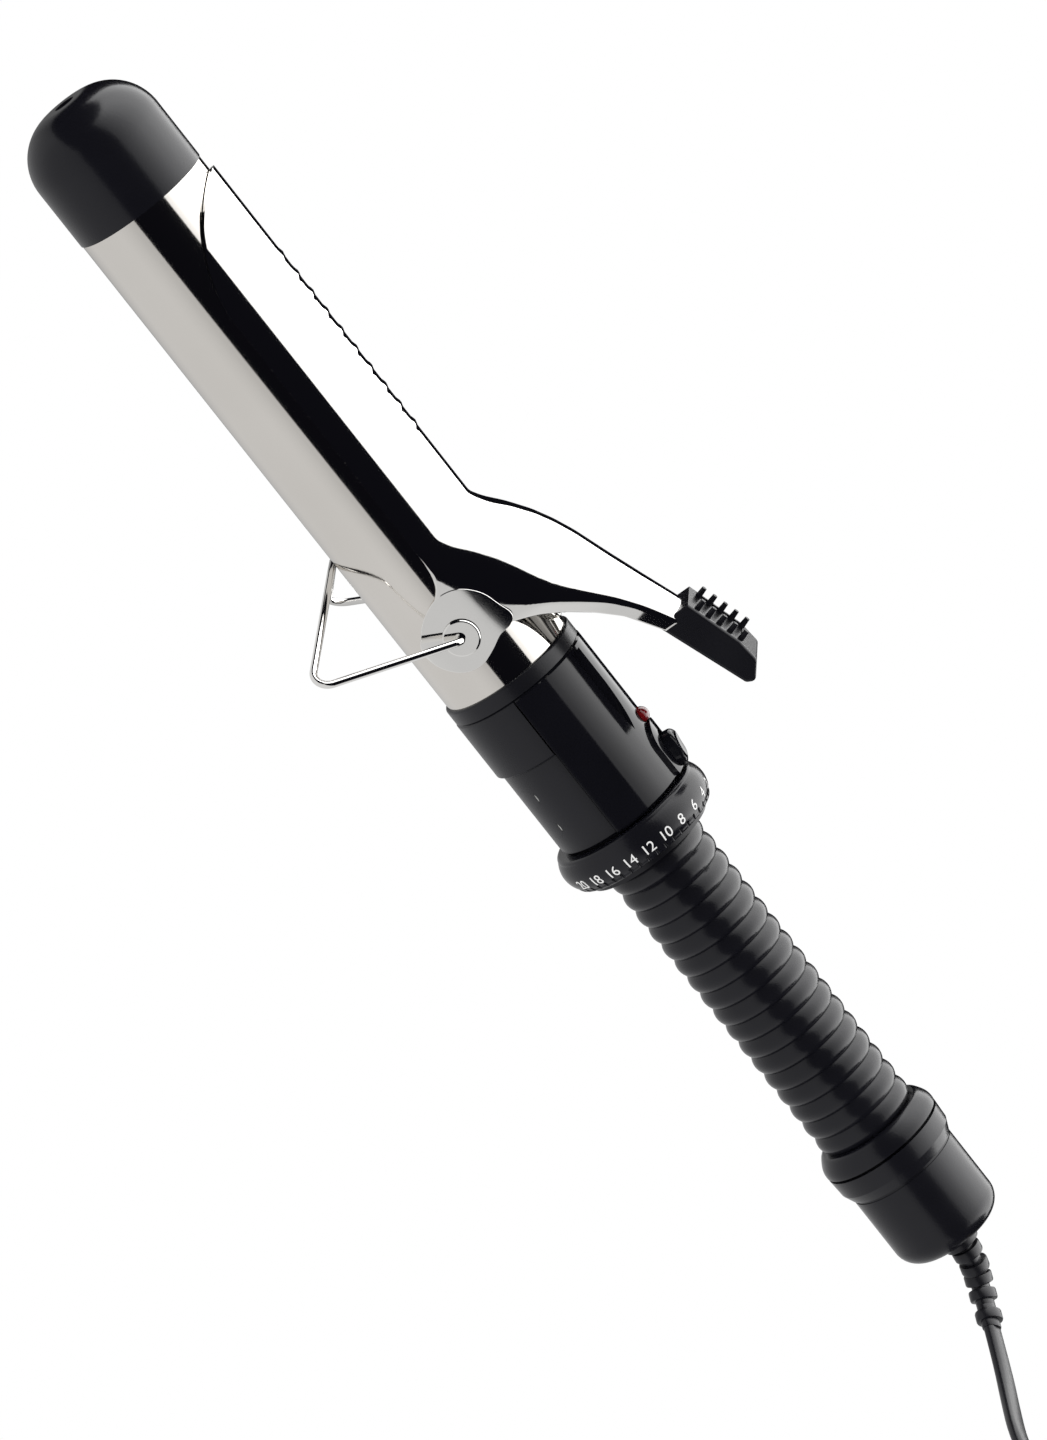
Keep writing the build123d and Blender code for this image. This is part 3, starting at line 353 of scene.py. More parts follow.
class Finish:
    """One material: constant values on the shader, and nodes for what changes over it."""

    def __init__(self, name, colour, roughness, metallic=0.0, **constants):
        self.material = bpy.data.materials.new(name)
        self.material.use_nodes = True
        self.tree = self.material.node_tree
        self.shader = self.tree.nodes["Principled BSDF"]
        self.shader.inputs["Base Color"].default_value = (*colour, 1.0)
        self.shader.inputs["Roughness"].default_value = roughness
        self.shader.inputs["Metallic"].default_value = metallic
        for name, value in constants.items():
            self.shader.inputs[name.replace("_", " ")].default_value = value
        self.material.diffuse_color = (*colour, 1.0)

    def node(self, kind, settings=None, *values, **named):
        """Adds a node: its type, its settings, then its inputs in order or by name."""
        made = self.tree.nodes.new("ShaderNode" + kind)
        for name, value in (settings or {}).items():
            if name == "stops":
                made.color_ramp.elements[0].position = value[0][0]
                made.color_ramp.elements[0].color = (*value[0][1], 1.0)
                made.color_ramp.elements[1].position = value[-1][0]
                made.color_ramp.elements[1].color = (*value[-1][1], 1.0)
                for place, colour in value[1:-1]:
                    made.color_ramp.elements.new(place).color = (*colour, 1.0)
            else:
                setattr(made, name, value)
        for socket, value in list(zip(made.inputs, values)) + [
            (made.inputs[name.replace("_", " ")], value) for name, value in named.items()
        ]:
            self.plug(socket, value)
        return made

    def plug(self, socket, value):
        if isinstance(value, Wire):
            self.tree.links.new(value.socket, socket)
        elif isinstance(value, bpy.types.NodeSocket):
            self.tree.links.new(value, socket)
        else:
            socket.default_value = value

    def place(self, turned=False, scale=(1, 1, 1)):
        """Object coordinates, or the same measured from the hinge along the barrel."""
        coordinates = self.node("TexCoord").outputs["Object"]
        if turned:
            back = iron_place.inverted()
            made = self.node("Mapping", None, coordinates)
            made.inputs["Location"].default_value = back.translation
            made.inputs["Rotation"].default_value = back.to_euler()
            coordinates = made.outputs[0]
        made = self.node("Mapping", None, coordinates)
        made.inputs["Scale"].default_value = scale
        return made.outputs[0]

    def along(self, vector, letter):
        split = self.node("SeparateXYZ", None, vector)
        return Wire(self, split.outputs[letter])

    def noise(self, vector, scale, detail=3.0, roughness=0.5):
        made = self.node("TexNoise", None, Vector=vector, Scale=scale, Detail=detail, Roughness=roughness)
        return Wire(self, made.outputs["Fac"])

    def blend(self, share, first, second):
        """A colour between two others."""
        made = self.node("Mix", {"data_type": "RGBA"})
        self.plug(made.inputs[0], share)
        made.inputs[6].default_value = (*first, 1.0)
        made.inputs[7].default_value = (*second, 1.0)
        return made.outputs[2]

    def set(self, name, value):
        self.plug(self.shader.inputs[name], value)

    def bump(self, height, depth, strength=1.0):
        """Fine relief: height from 0 to 1, depth in metres."""
        made = self.node("Bump", None, Strength=strength, Distance=depth, Height=height)
        self.set("Normal", made.outputs[0])


# %% [markdown]
# ## Finishes
# Chrome plate is almost a mirror: what shows is what it reflects, so its detail is in small
# changes of roughness where fingers have been, and in very long, faint waves of the pressed
# sheet. The barrel is ground before it is plated, so it also has fine rings round it and a
# warmer, greyer tone. The black mouldings differ in how they were finished: polished, spark
# eroded, or soft-touch.


# %% Metals
def chrome_finish():
    finish = Finish("chrome_plate", (0.90, 0.89, 0.87), 0.05, 1.0)
    place = finish.place()
    smudge = finish.noise(place, 90.0, 4.0)
    streak = finish.noise(finish.place(True), 40.0)
    finish.set("Roughness", 0.035 + 0.05 * smudge * streak)
    finish.set("Base Color", finish.blend(smudge, (0.86, 0.85, 0.83), (0.92, 0.91, 0.89)))
    finish.bump(finish.noise(place, 55.0, 1.0), 0.00004, 0.25)
    return finish.material


def barrel_finish():
    finish = Finish("ground_chrome", (0.78, 0.75, 0.72), 0.12, 1.0)
    place = finish.place(True, (900.0, 8.0, 8.0))
    rings = finish.noise(place, 1.0, 2.0)
    cloud = finish.noise(finish.place(), 35.0, 3.0)
    finish.set("Roughness", 0.05 + 0.03 * rings + 0.03 * cloud)
    finish.set("Base Color", finish.blend(cloud, (0.80, 0.77, 0.73), (0.74, 0.71, 0.67)))
    finish.bump(rings, 0.00001, 0.3)
    return finish.material


def plain_metal(name, colour, roughness, scale=400.0):
    finish = Finish(name, colour, roughness, 1.0)
    grain = finish.noise(finish.place(False, (1.0, 6.0, 6.0)), scale, 3.0)
    finish.set("Roughness", roughness - 0.08 + 0.16 * grain)
    darker = tuple(value * 0.82 for value in colour)
    finish.set("Base Color", finish.blend(grain, colour, darker))
    finish.bump(grain, 0.00003, 0.4)
    return finish.material


chrome = chrome_finish()
barrel_chrome = barrel_finish()
bright_steel = plain_metal("bright_steel", (0.62, 0.62, 0.60), 0.28)
aluminium = plain_metal("extruded_aluminium", (0.72, 0.72, 0.73), 0.35, 250.0)
brass = plain_metal("blade_brass", (0.78, 0.62, 0.34), 0.24)
print("metals made")


# %% Black mouldings
def moulding(name, colour, roughness, grain_scale, grain_depth, specular=0.3):
    """Black plastic: mould texture, faint colour change and handling marks."""
    finish = Finish(name, colour, roughness, 0.0, Specular_IOR_Level=specular)
    place = finish.place()
    grain = finish.noise(place, grain_scale, 2.0)
    marks = finish.noise(place, 60.0, 4.0)
    finish.set("Roughness", roughness + (marks - 0.5) * (roughness * 0.5) + grain * 0.02)
    lighter = tuple(value * 1.7 for value in colour)
    finish.set("Base Color", finish.blend(marks, colour, lighter))
    finish.bump(grain, grain_depth, 0.6)
    return finish.material


tip_black = moulding("phenolic_black", (0.0040, 0.0040, 0.0060), 0.18, 1500.0, 0.00002)
gloss_black = moulding("polished_black", (0.0035, 0.0035, 0.0050), 0.08, 900.0, 0.000008)
matte_black = moulding("eroded_black", (0.0045, 0.0045, 0.0065), 0.28, 2600.0, 0.00003)
grip_black = moulding("soft_grip_black", (0.0045, 0.0045, 0.0065), 0.20, 2200.0, 0.000025)
dial_black = moulding("dial_black", (0.0040, 0.0040, 0.0060), 0.20, 1800.0, 0.00002)
cord_black = moulding("sheath_black", (0.0050, 0.0050, 0.0070), 0.30, 1200.0, 0.00003)
print("mouldings made")


# %% Lens, print and the parts inside
def lens_finish():
    finish = Finish(
        "clear_red", (0.22, 0.008, 0.010), 0.06, 0.0, Transmission_Weight=0.35, IOR=1.49,
        Coat_Weight=0.6, Coat_Roughness=0.03,
    )
    ripple = finish.along(finish.place(), "X") * 9000.0
    finish.bump(ripple.sine(), 0.00003, 0.3)
    depth = finish.noise(finish.place(), 500.0)
    finish.set("Base Color", finish.blend(depth, (0.30, 0.010, 0.012), (0.12, 0.004, 0.006)))
    return finish.material


def plain_matter(name, colour, second, roughness, scale, depth=0.00004, **constants):
    """Anything non-metal that has a grain of two colours."""
    finish = Finish(name, colour, roughness, 0.0, **constants)
    grain = finish.noise(finish.place(), scale, 4.0)
    finish.set("Base Color", finish.blend(grain, colour, second))
    finish.set("Roughness", roughness - 0.06 + 0.12 * grain)
    finish.bump(grain, depth, 0.5)
    return finish.material


def board_finish():
    """Green circuit board with tinned tracks."""
    finish = Finish("circuit_board", (0.02, 0.12, 0.05), 0.35)
    place = finish.place(True)
    side_by_side = (finish.along(place, "Y") * 2400.0).sine() > 0.75
    broken_along = (finish.along(place, "X") * 420.0).sine() > -0.6
    lanes = side_by_side * broken_along
    finish.set("Base Color", finish.blend(lanes, (0.02, 0.12, 0.05), (0.32, 0.34, 0.30)))
    finish.set("Metallic", lanes * 0.7)
    finish.bump(lanes, 0.00005, 0.5)
    return finish.material


red_lens = lens_finish()
white_print = plain_matter("white_print", (0.84, 0.84, 0.83), (0.74, 0.74, 0.73), 0.45, 900.0, 0.00001)
ceramic = plain_matter("fired_ceramic", (0.80, 0.77, 0.70), (0.66, 0.62, 0.55), 0.6, 700.0)
insulator = plain_matter("heat_proof_brown", (0.22, 0.12, 0.06), (0.12, 0.06, 0.03), 0.5, 500.0)
sleeving = plain_matter("glass_sleeving", (0.58, 0.57, 0.54), (0.42, 0.41, 0.38), 0.7, 1800.0)
lamp_glass = plain_matter(
    "lamp_glass", (0.85, 0.62, 0.45), (0.70, 0.48, 0.34), 0.1, 200.0, 0.00001, Transmission_Weight=0.5
)
circuit_board = board_finish()
print("small finishes made")

# %% [markdown]
# ## Finishes on the solid parts
# Parts whose CAD shape is already right keep it, and only get a finish. The table below is the
# parts list, by finish.

# %% Hand out the finishes
finishes = {
    tip_black: ("cool_tip",),
    barrel_chrome: ("barrel_tube",),
    chrome: ("hinge_rivets", "stand_wire", "spring_post"),
    bright_steel: ("tip_plug", "tip_screw", "core_clips", "thermal_fuse", "housing_screws",
                   "tail_screw", "clip_spring", "dial_wiper"),
    aluminium: ("heater_spreader_upper", "heater_spreader_lower"),
    ceramic: ("heater_plate",),
    insulator: ("barrel_bush", "dial_track", "cord_clamp"),
    matte_black: ("front_collar", "lower_housing", "thumb_rest", "switch_body", "handle_core",
                  "screw_covers", "dial_retainer"),
    gloss_black: ("upper_housing", "rocker_switch"),
    dial_black: ("dial_ring",),
    grip_black: ("ribbed_grip", "tail_cap"),
    cord_black: ("strain_relief", "coil_tie", "plug_body", "power_cord", "cord_coil", "plug_lead"),
    brass: ("plug_blades",),
    red_lens: ("indicator_lens",),
    lamp_glass: ("indicator_lamp", "temperature_sensor"),
    circuit_board: ("control_board",),
    sleeving: ("mains_leads", "heater_leads"),
}
dressed = set()
for finish, names in finishes.items():
    for name in names:
        materials = frame["nodes"][name].data.materials
        materials.clear()
        materials.append(finish)
        dressed.add(name)
print("parts without a finish:", sorted(set(frame["nodes"]) - dressed - {"clip_lever"}))

# %% [markdown]
# ## The clip
# The clip is one pressed sheet: a half-round spoon that lies on the barrel, a kink where it
# lifts off, and an arched lever that narrows towards the thumb rest. A flat grid is the natural
# start: its rows become cross-sections and its columns run along the clip. Each row is bent to
# the section that belongs there, and the sheet then gets its thickness. The rounded nose needs
# no cutting, because its rows simply grow shorter.

# %% The clip's sections
barrel_radius = 15.875
sheet = 0.9
spoon_radius = barrel_radius + 0.3 + sheet
spoon_half_angle = math.radians(78)
nose_start, nose_end = 84.0, 112.0
row_pitch = 0.55
lever_end = -27.6

crown_line = [
    (-28.0, 40.3), (-24.0, 38.9), (-16.0, 35.8), (-8.4, 33.0), (0.0, 30.1), (4.9, 28.0),
    (9.3, 25.6), (14.0, 22.2), (17.7, 18.9), (20.6, 17.075), (nose_end, 17.075),
]
half_width_line = [
    (-28.0, 6.7), (-20.0, 8.5), (-14.0, 10.8), (-8.0, 13.9), (-3.0, 16.6), (1.5, 17.275),
    (17.0, 17.275), (22.0, 17.075), (nose_end, 17.075),
]
shoulder_line = [
    (-28.0, 37.4), (-20.0, 33.0), (-14.0, 28.6), (-8.0, 22.0), (-3.0, 15.5), (3.0, 10.5),
    (9.0, 6.4), (14.0, 3.2), (17.7, 1.2), (21.5, 0.0), (nose_end, 0.0),
]
spoon_edge = spoon_radius * math.cos(spoon_half_angle)
edge_line = [
    (-28.0, 34.4), (-21.0, 30.4), (-19.0, 29.3), (-14.0, 25.0), (-9.8, 20.7), (-6.7, 16.6),
    (-4.8, 13.0), (-3.5, 9.4), (-2.2, 4.0), (0.5, -2.0), (5.0, -3.6), (8.0, -2.8), (9.4, -0.8),
    (10.6, 1.0), (12.2, 2.3), (14.8, 3.2), (18.0, spoon_edge), (nose_end, spoon_edge),
]


def read_line(line, x, softness):
    """A height on a drawn line, averaged over a short length so that its corners are rounded."""
    total = 0.0
    shares = (-1.0, -0.5, 0.0, 0.5, 1.0)
    for share in shares:
        place = x + share * softness
        before, after = line[0], line[1]
        for first, second in zip(line, line[1:]):
            if first[0] <= place:
                before, after = first, second
        reach = (place - before[0]) / (after[0] - before[0])
        total += before[1] + (after[1] - before[1]) * reach
    return total / len(shares)


def section_point(x, across, narrowing):
    """A point of the sheet's outer face; across runs from -1 to 1 over one cross-section."""
    crown = read_line(crown_line, x, 0.8)
    width = read_line(half_width_line, x, 2.0)
    shoulder = read_line(shoulder_line, x, 1.5)
    edge = read_line(edge_line, x, 0.3)
    if edge >= shoulder:
        sweep = math.acos(min((edge - shoulder) / (crown - shoulder), 1.0)) * narrowing
        skirt = 0.0
    else:
        sweep = math.pi / 2
        skirt = shoulder - edge
    arch = sweep * (width + crown - shoulder) / 2
    along = abs(across) * (arch + skirt)
    side = 1 if across > 0 else -1
    if along <= arch:
        angle = along / arch * sweep
        return Vector((x, side * width * math.sin(angle), shoulder + (crown - shoulder) * math.cos(angle)))
    return Vector((x, side * width, shoulder - (along - arch)))


# %% [markdown]
# Low flutes are pressed across the top of the spoon, which stiffens the sheet. They are made
# by lifting the grid's points along its own normal by a soft wave.

# %% Bend the sheet
flutes_start, flutes_end = 38.0, 90.0
flute_pitch = 5.2
flute_height = 0.32
flute_half_angle = 0.42


def flute_lift(x, across):
    """How far the sheet is pressed out at a place on the spoon."""
    if not flutes_start < x < flutes_end:
        return 0.0
    wave = math.cos(2 * math.pi * (x - flutes_start) / flute_pitch + math.pi)
    fade = max(0.0, 1.0 - (abs(across) / flute_half_angle) ** 4)
    return flute_height * max(0.0, wave) ** 2 * fade


rows = [(lever_end + row_pitch * step, 1.0) for step in range(int((nose_start - lever_end) / row_pitch))]
nose_rows = 36
for step in range(nose_rows + 1):
    angle = math.radians(90) * step / nose_rows
    rows.append((
        nose_start + (nose_end - nose_start) * math.sin(angle), max(math.cos(angle), 0.004)
    ))
columns = 80
select_only()
bpy.ops.mesh.primitive_grid_add(x_subdivisions=len(rows) - 1, y_subdivisions=columns, size=1)
clip_sheet = new_piece("clip_sheet")
grid = sorted(clip_sheet.data.vertices, key=lambda vertex: (round(vertex.co.x, 5), vertex.co.y))
for index, vertex in enumerate(grid):
    x, narrowing = rows[index // (columns + 1)]
    across = 2 * (index % (columns + 1)) / columns - 1
    point = section_point(x, across, narrowing)
    outward = Vector((0, point.y, point.z)).normalized()
    vertex.co = (point + outward * flute_lift(x, across * narrowing)) * mm
clip_sheet.data.update()
select_only(clip_sheet)
bpy.ops.object.mode_set(mode="EDIT")
bpy.ops.mesh.select_all(action="SELECT")
bpy.ops.mesh.remove_doubles(threshold=0.00001)
bpy.ops.mesh.normals_make_consistent(inside=False)
bpy.ops.object.mode_set(mode="OBJECT")
top_face = max(clip_sheet.data.polygons, key=lambda face: face.center.z)
if top_face.normal.z < 0:
    clip_sheet.data.flip_normals()
modify(clip_sheet, "SOLIDIFY", thickness=sheet * mm, offset=-1.0, use_even_offset=True)
soften(clip_sheet, 0.00016, 2, 50)
print("clip sheet faces:", len(clip_sheet.data.polygons))


# %% [markdown]
# The hinge ears are flat discs with a lobe, pressed slightly proud of the skirt. Each is an
# outline curve that is given a thickness and rounded edges, then made a mesh and turned
# upright.

# %% The ears
def plate(name, outline, low, high, rounding):
    """A plate in the side view: a smooth closed outline, thick from low to high along Y."""
    data = bpy.data.curves.new(name, "CURVE")
    data.dimensions = "2D"
    data.resolution_u = 6
    spline = data.splines.new("NURBS")
    spline.points.add(len(outline) - 1)
    for point, (x, z) in zip(spline.points, outline):
        point.co = (x * mm, z * mm, 0.0, 1.0)
    spline.use_cyclic_u = True
    spline.order_u = 3
    data.fill_mode = "BOTH"
    data.extrude = (high - low) / 2 * mm - rounding * mm
    data.bevel_depth = rounding * mm
    data.bevel_resolution = 2
    piece = bpy.data.objects.new(name, data)
    bpy.context.scene.collection.objects.link(piece)
    select_only(piece)
    piece.location = (0, (low + high) / 2 * mm, 0)
    piece.rotation_euler = (math.radians(90), 0, 0)
    piece = new_piece(name)
    bpy.ops.object.mode_set(mode="EDIT")
    bpy.ops.mesh.select_all(action="SELECT")
    bpy.ops.mesh.remove_doubles(threshold=0.000002)
    bpy.ops.mesh.normals_make_consistent(inside=False)
    bpy.ops.object.mode_set(mode="OBJECT")
    return piece


ear_outline = [
    (4.9, -7.2), (6.6, -5.8), (8.4, -3.6), (10.2, 0.4), (10.0, 4.4), (8.2, 7.4), (5.0, 10.0),
    (1.4, 10.9), (-2.2, 12.3), (-3.9, 10.4), (-4.2, 7.2), (-5.9, 4.5), (-7.6, 0.6), (-7.4, -3.0),
    (-5.7, -5.7), (-2.9, -7.9), (0.4, -8.9), (3.0, -8.8),
]
ear_inner = barrel_radius + 0.5
ear_outer = ear_inner + sheet + 0.18
ear_rounding = 0.16
near_ear = plate("near_ear", ear_outline, ear_inner, ear_outer, ear_rounding)
far_ear = plate("far_ear", ear_outline, -ear_outer, -ear_inner, ear_rounding)
clip = join("pressed_clip", [clip_sheet, near_ear, far_ear])
stand_up(clip)
finish_piece(clip, "clip", chrome, ["clip_lever"], 32)
modify(clip, "WEIGHTED_NORMAL", keep_sharp=True)

# %% [markdown]
# ## The spring
# A compression spring under the lever closes the clip. It is one curve wound round its own
# axis, given the wire's thickness, with its two end turns closed up flat.

# %% Wind the spring
spring_x = -9.4
spring_radius = 3.1
spring_wire = 0.45
spring_low, spring_high = barrel_radius + 0.5, 30.2
spring_turns = 7
closed_turns = 0.8
points_per_wind = 14
spring_route = []
for index in range(spring_turns * points_per_wind + 1):
    turns = index / points_per_wind
    share = min(max((turns - closed_turns) / (spring_turns - 2 * closed_turns), 0.0), 1.0)
    angle = 2 * math.pi * turns
    spring_route.append((
        spring_x + spring_radius * math.cos(angle),
        spring_radius * math.sin(angle),
        spring_low + (spring_high - spring_low) * share,
    ))
spring = smooth_line("clip_coil_spring", spring_route)
spring.data.bevel_depth = spring_wire * mm
spring.data.bevel_resolution = 3
spring.data.resolution_u = 2
spring.data.use_fill_caps = True
select_only(spring)
spring = new_piece("clip_coil_spring")
stand_up(spring)
select_only(spring)
bpy.ops.object.shade_smooth()
spring.data.materials.clear()
spring.data.materials.append(bright_steel)
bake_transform(spring)
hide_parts("clip_spring")
print("spring turns:", spring_turns)

# %% [markdown]
# ## The dial's numbers
# The heat settings are printed round the crown of the dial, even numbers, with their tops
# towards the tip. Each is a text object made a mesh, cut into small squares so that it can
# follow both curves of the crown, and rolled on to it: its width becomes an angle round the
# barrel.

# %% Print the numbers
dial_middle = -60.95
dial_radius = 19.25
crown_arc = 5.65
number_shift = -1.35
number_height = 2.6
font_size_per_height = 1.37
number_strip = 0.4
number_count = 10
number_step = math.radians(15)
first_number_at = math.radians(3.2)
ink = 0.03


def rolled_number(text, angle):
    """A number printed on the crown at an angle from the top, towards the near side."""
    select_only()
    bpy.ops.object.text_add()
    piece = bpy.context.object
    piece.data.body = text
    piece.data.size = number_height * font_size_per_height * mm
    piece.data.align_x = "CENTER"
    piece.data.align_y = "CENTER"
    piece.data.space_character = 0.95
    piece.data.extrude = 0.00005
    piece = new_piece("number_" + text)
    bpy.ops.object.mode_set(mode="EDIT")
    for cut in range(-7, 8):
        cut_at = cut * number_strip * mm
        for normal in ((1, 0, 0), (0, 1, 0)):
            bpy.ops.mesh.select_all(action="SELECT")
            bpy.ops.mesh.bisect(plane_co=(cut_at, cut_at, 0), plane_no=normal)
    bpy.ops.object.mode_set(mode="OBJECT")
    for vertex in piece.data.vertices:
        across, upward, proud = vertex.co / mm
        place = angle - across / dial_radius
        along = upward + number_shift
        drop = crown_arc - math.sqrt(crown_arc**2 - along**2)
        radius = dial_radius + ink + proud - drop
        vertex.co = Vector((
            dial_middle + along, radius * math.sin(place), radius * math.cos(place)
        )) * mm
    return piece


numbers = []
for index in range(number_count):
    numbers.append(rolled_number(str(2 * (index + 1)), first_number_at + number_step * index))
dial_numbers = stand_up(join("dial_numbers", numbers))
finish_piece(dial_numbers, "dial", white_print)

# %% [markdown]
# ## The strain relief
# Where the cord leaves the tail, a rubber relief keeps it from kinking: a tapered body cut
# into rings, so that it bends evenly. The rings are placed along a smooth line from the tail's
# end to the cord's first point, each turned to face along it, over a thinner core.

# %% Build the relief
tail_end = iron_place @ (Vector((-180.7, 0, 0)) * mm)
outward = -barrel_direction.normalized()
relief_tip = Vector(cord_route[0]) * mm
tip_heading = (Vector(cord_route[1]) * mm - relief_tip).normalized()
relief_route = [
    tail_end - outward * 0.002, tail_end + outward * 0.006, relief_tip - tip_heading * 0.008,
    relief_tip + tip_heading * 0.0012,
]
relief_line = smooth_line("relief_line", [point / mm for point in relief_route])
relief_line.data.resolution_u = 24
relief_points = line_points(relief_line)
relief_length = line_length(relief_points)


def on_relief(share):
    """The place and direction at a share of the relief's line."""
    place = share * (len(relief_points) - 1)
    index = min(int(place), len(relief_points) - 2)
    step = relief_points[index + 1] - relief_points[index]
    return relief_points[index] + step * (place - index), step.normalized()


def relief_ring(name, share, width, thickness, length):
    """One rounded ring or slice of the relief."""
    place, heading = on_relief(share)
    side = heading.cross(Vector((0, 0, 1))).normalized()
    stand = Matrix((side, side.cross(heading) * -1, heading)).transposed().to_4x4()
    select_only()
    bpy.ops.mesh.primitive_cylinder_add(vertices=32, radius=0.5, depth=1.0)
    piece = bpy.context.object
    piece.name = name
    piece.data.transform(
        Matrix.Translation(place) @ stand @ Matrix.Diagonal((width * mm, thickness * mm, length * mm, 1))
    )
    soften(piece, 0.0004, 2, 60)
    return piece


slices = [relief_ring("relief_root", 0.08, 9.6, 8.4, 4.6)]
ring_count = 5
ring_length = 2.5
core_count = 12
for index in range(ring_count):
    share = 0.24 + 0.70 * index / (ring_count - 1)
    width = 8.6 - 1.4 * index / (ring_count - 1)
    slices.append(relief_ring(f"relief_ring_{index}", share, width, width * 0.80, ring_length))
for index in range(core_count):
    share = 0.05 + 0.93 * index / (core_count - 1)
    width = 6.6 - 0.8 * index / (core_count - 1)
    slices.append(relief_ring(f"relief_core_{index}", share, width, width * 0.66, 3.4))
bpy.data.objects.remove(relief_line)
relief = join("cord_relief", slices)
finish_piece(relief, "handle", cord_black, ["strain_relief"])
print("relief length:", round(relief_length / mm, 1), "mm")

# %% [markdown]
# ## The coil's tie
# A flat strap holds the turns together. It is a box shaped round the turns, open at two sides,
# with its corners rounded, and then given the strap's thickness.

# %% Tie the coil
tie_angle = math.radians(-50)
tie_inner, tie_outer = 19.9, 42.2
tie_height = 6.0
select_only()
bpy.ops.mesh.primitive_cube_add(size=1)
tie = new_piece("coil_strap")
tie.data.transform(Matrix.Translation(Vector(((tie_inner + tie_outer) / 2, 0, tie_height / 2 + 0.2)) * mm)
                   @ Matrix.Diagonal(((tie_outer - tie_inner) * mm, 6.4 * mm, tie_height * mm, 1)))
select_faces(tie, lambda centre, normal: abs(normal.y) > 0.9)
bpy.ops.mesh.delete(type="ONLY_FACE")
bpy.ops.object.mode_set(mode="OBJECT")
soften(tie, 0.0016, 4, 60)
modify(tie, "SOLIDIFY", thickness=0.0007, offset=1.0)
modify(tie, "SUBSURF", levels=1, render_levels=1, subdivision_type="SIMPLE")
tie_place = Matrix.Translation((coil_centre.x * mm, coil_centre.y * mm, 0))
tie.data.transform(tie_place @ Matrix.Rotation(tie_angle, 4, "Z"))
finish_piece(tie, "handle", cord_black, ["coil_tie"])

# %% [markdown]
# ## Hand over the cord
# The cord rides with the handle and stands for the three solids that held its place: the free
# run, the coil, and the short lead up to the plug.

finish_piece(power_lead, "handle", cord_black, ["power_cord", "cord_coil", "plug_lead"], 60)

# %% [markdown]
# ## The studio
# Chrome shows its room. A broad white canopy overhead makes the clip's bright top, the dark
# room in front of the iron makes the crisp black band along its side, and a pale card under
# it makes the soft grey of its lower half. The table that the camera sees is a separate sweep,
# lit evenly white, so no shadow falls on it.


# %% Lights and table
def grey_stops(stops, scale):
    """Ramp stops from pairs of a place and a strength, as shares of the scale."""
    return [(place, (strength / scale,) * 3) for place, strength in stops]


def glow(name, strongest):
    """A finish that only gives light."""
    return Finish(
        name, (0, 0, 0), 1.0, 0.0, Specular_IOR_Level=0.0, Emission_Strength=strongest
    )


canopy_radius = 2.6
canopy_length = 8.0
canopy_front = math.radians(45.6)
canopy_back = math.radians(162)
canopy_tones = [(45, 1.15), (53, 1.3), (70, 2.3), (89, 3.8), (112, 4.3), (140, 3.1), (162, 3.0)]
brightest = max(strength for angle, strength in canopy_tones)
select_only()
bpy.ops.mesh.primitive_cylinder_add(
    vertices=360, radius=canopy_radius, depth=canopy_length, end_fill_type="NOTHING",
    rotation=(0, math.radians(90), 0),
)
canopy = new_piece("canopy")
select_faces(
    canopy, lambda centre, normal: not canopy_front < math.atan2(centre.z, centre.y) < canopy_back
)
bpy.ops.mesh.delete(type="FACE")
bpy.ops.object.mode_set(mode="OBJECT")
canopy_light = glow("canopy_light", brightest)
spot = canopy_light.place()
angle = canopy_light.node(
    "Math", {"operation": "ARCTAN2"}, canopy_light.along(spot, "Z"), canopy_light.along(spot, "Y")
)
ramp = canopy_light.node(
    "ValToRGB",
    {"stops": grey_stops([(degrees / 180, tone) for degrees, tone in canopy_tones], brightest)},
    Wire(canopy_light, angle.outputs[0]) / math.pi,
)
canopy_light.set("Emission Color", ramp.outputs[0])
canopy.data.materials.append(canopy_light.material)
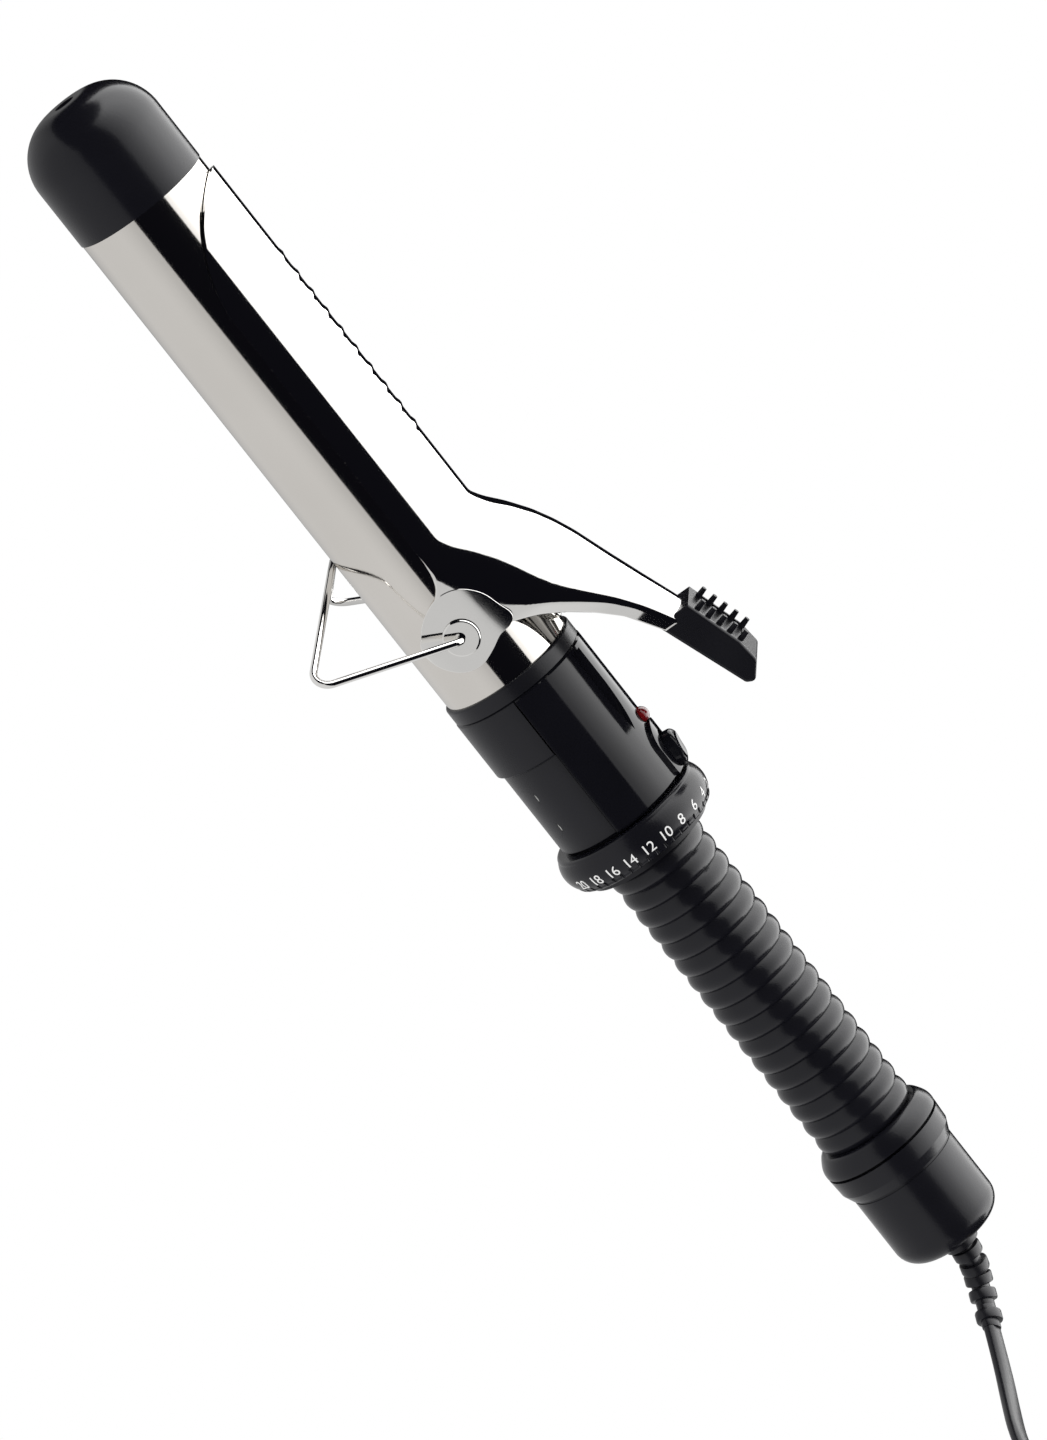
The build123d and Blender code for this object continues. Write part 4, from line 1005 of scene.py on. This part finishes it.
canopy.visible_camera = False
canopy.visible_diffuse = False
canopy.visible_shadow = False

table_size = 16.0
table_back = -3.0
select_only()
bpy.ops.mesh.primitive_plane_add(size=table_size, location=(0, table_back, 0))
table = new_piece("table")
table_light = glow("white_sweep", 1.0)
table_light.set("Emission Color", (1.0, 1.0, 1.0, 1.0))
table.data.materials.append(table_light.material)
table.visible_glossy = False

bounce_tones = [
    (-0.25, 0.25), (-0.12, 0.25), (-0.06, 0.3), (-0.02, 0.55),
    (0.0, 0.7), (0.045, 0.72), (0.11, 0.6), (0.165, 0.6),
]
bounce_near, bounce_far = bounce_tones[-1][0], bounce_tones[0][0]
bounce_span = bounce_near - bounce_far
bounce_length = 0.55
bounce_place = (-0.025, (bounce_near + bounce_far) / 2, -0.001)
select_only()
bpy.ops.mesh.primitive_plane_add(size=1.0, location=bounce_place)
bpy.context.object.scale = (bounce_length, bounce_span, 1.0)
bounce = new_piece("bounce_card")
bounce_light = glow("bounce_light", 1.0)
bounce_stops = [((y - bounce_far) / bounce_span, tone) for y, tone in bounce_tones]
share = (bounce_light.along(bounce_light.place(), "Y") - bounce_far) / bounce_span
ramp = bounce_light.node("ValToRGB", {"stops": grey_stops(bounce_stops, 1.0)}, share)
bounce_light.set("Emission Color", ramp.outputs[0])
bounce.data.materials.append(bounce_light.material)
bounce.visible_camera = False
bounce.visible_diffuse = False
bounce.visible_shadow = False

world = bpy.data.worlds.new("studio")
bpy.context.scene.world = world
world.use_nodes = True
background = world.node_tree.nodes["Background"]
ray = world.node_tree.nodes.new("ShaderNodeLightPath")
shade = world.node_tree.nodes.new("ShaderNodeMix")
shade.data_type = "RGBA"
shade.inputs[6].default_value = (1.1, 1.1, 1.1, 1.0)
shade.inputs[7].default_value = (0.004, 0.004, 0.006, 1.0)
world.node_tree.links.new(ray.outputs["Is Glossy Ray"], shade.inputs[0])
world.node_tree.links.new(shade.outputs[2], background.inputs["Color"])
bpy.context.scene.view_settings.view_transform = "Standard"
print("studio ready")
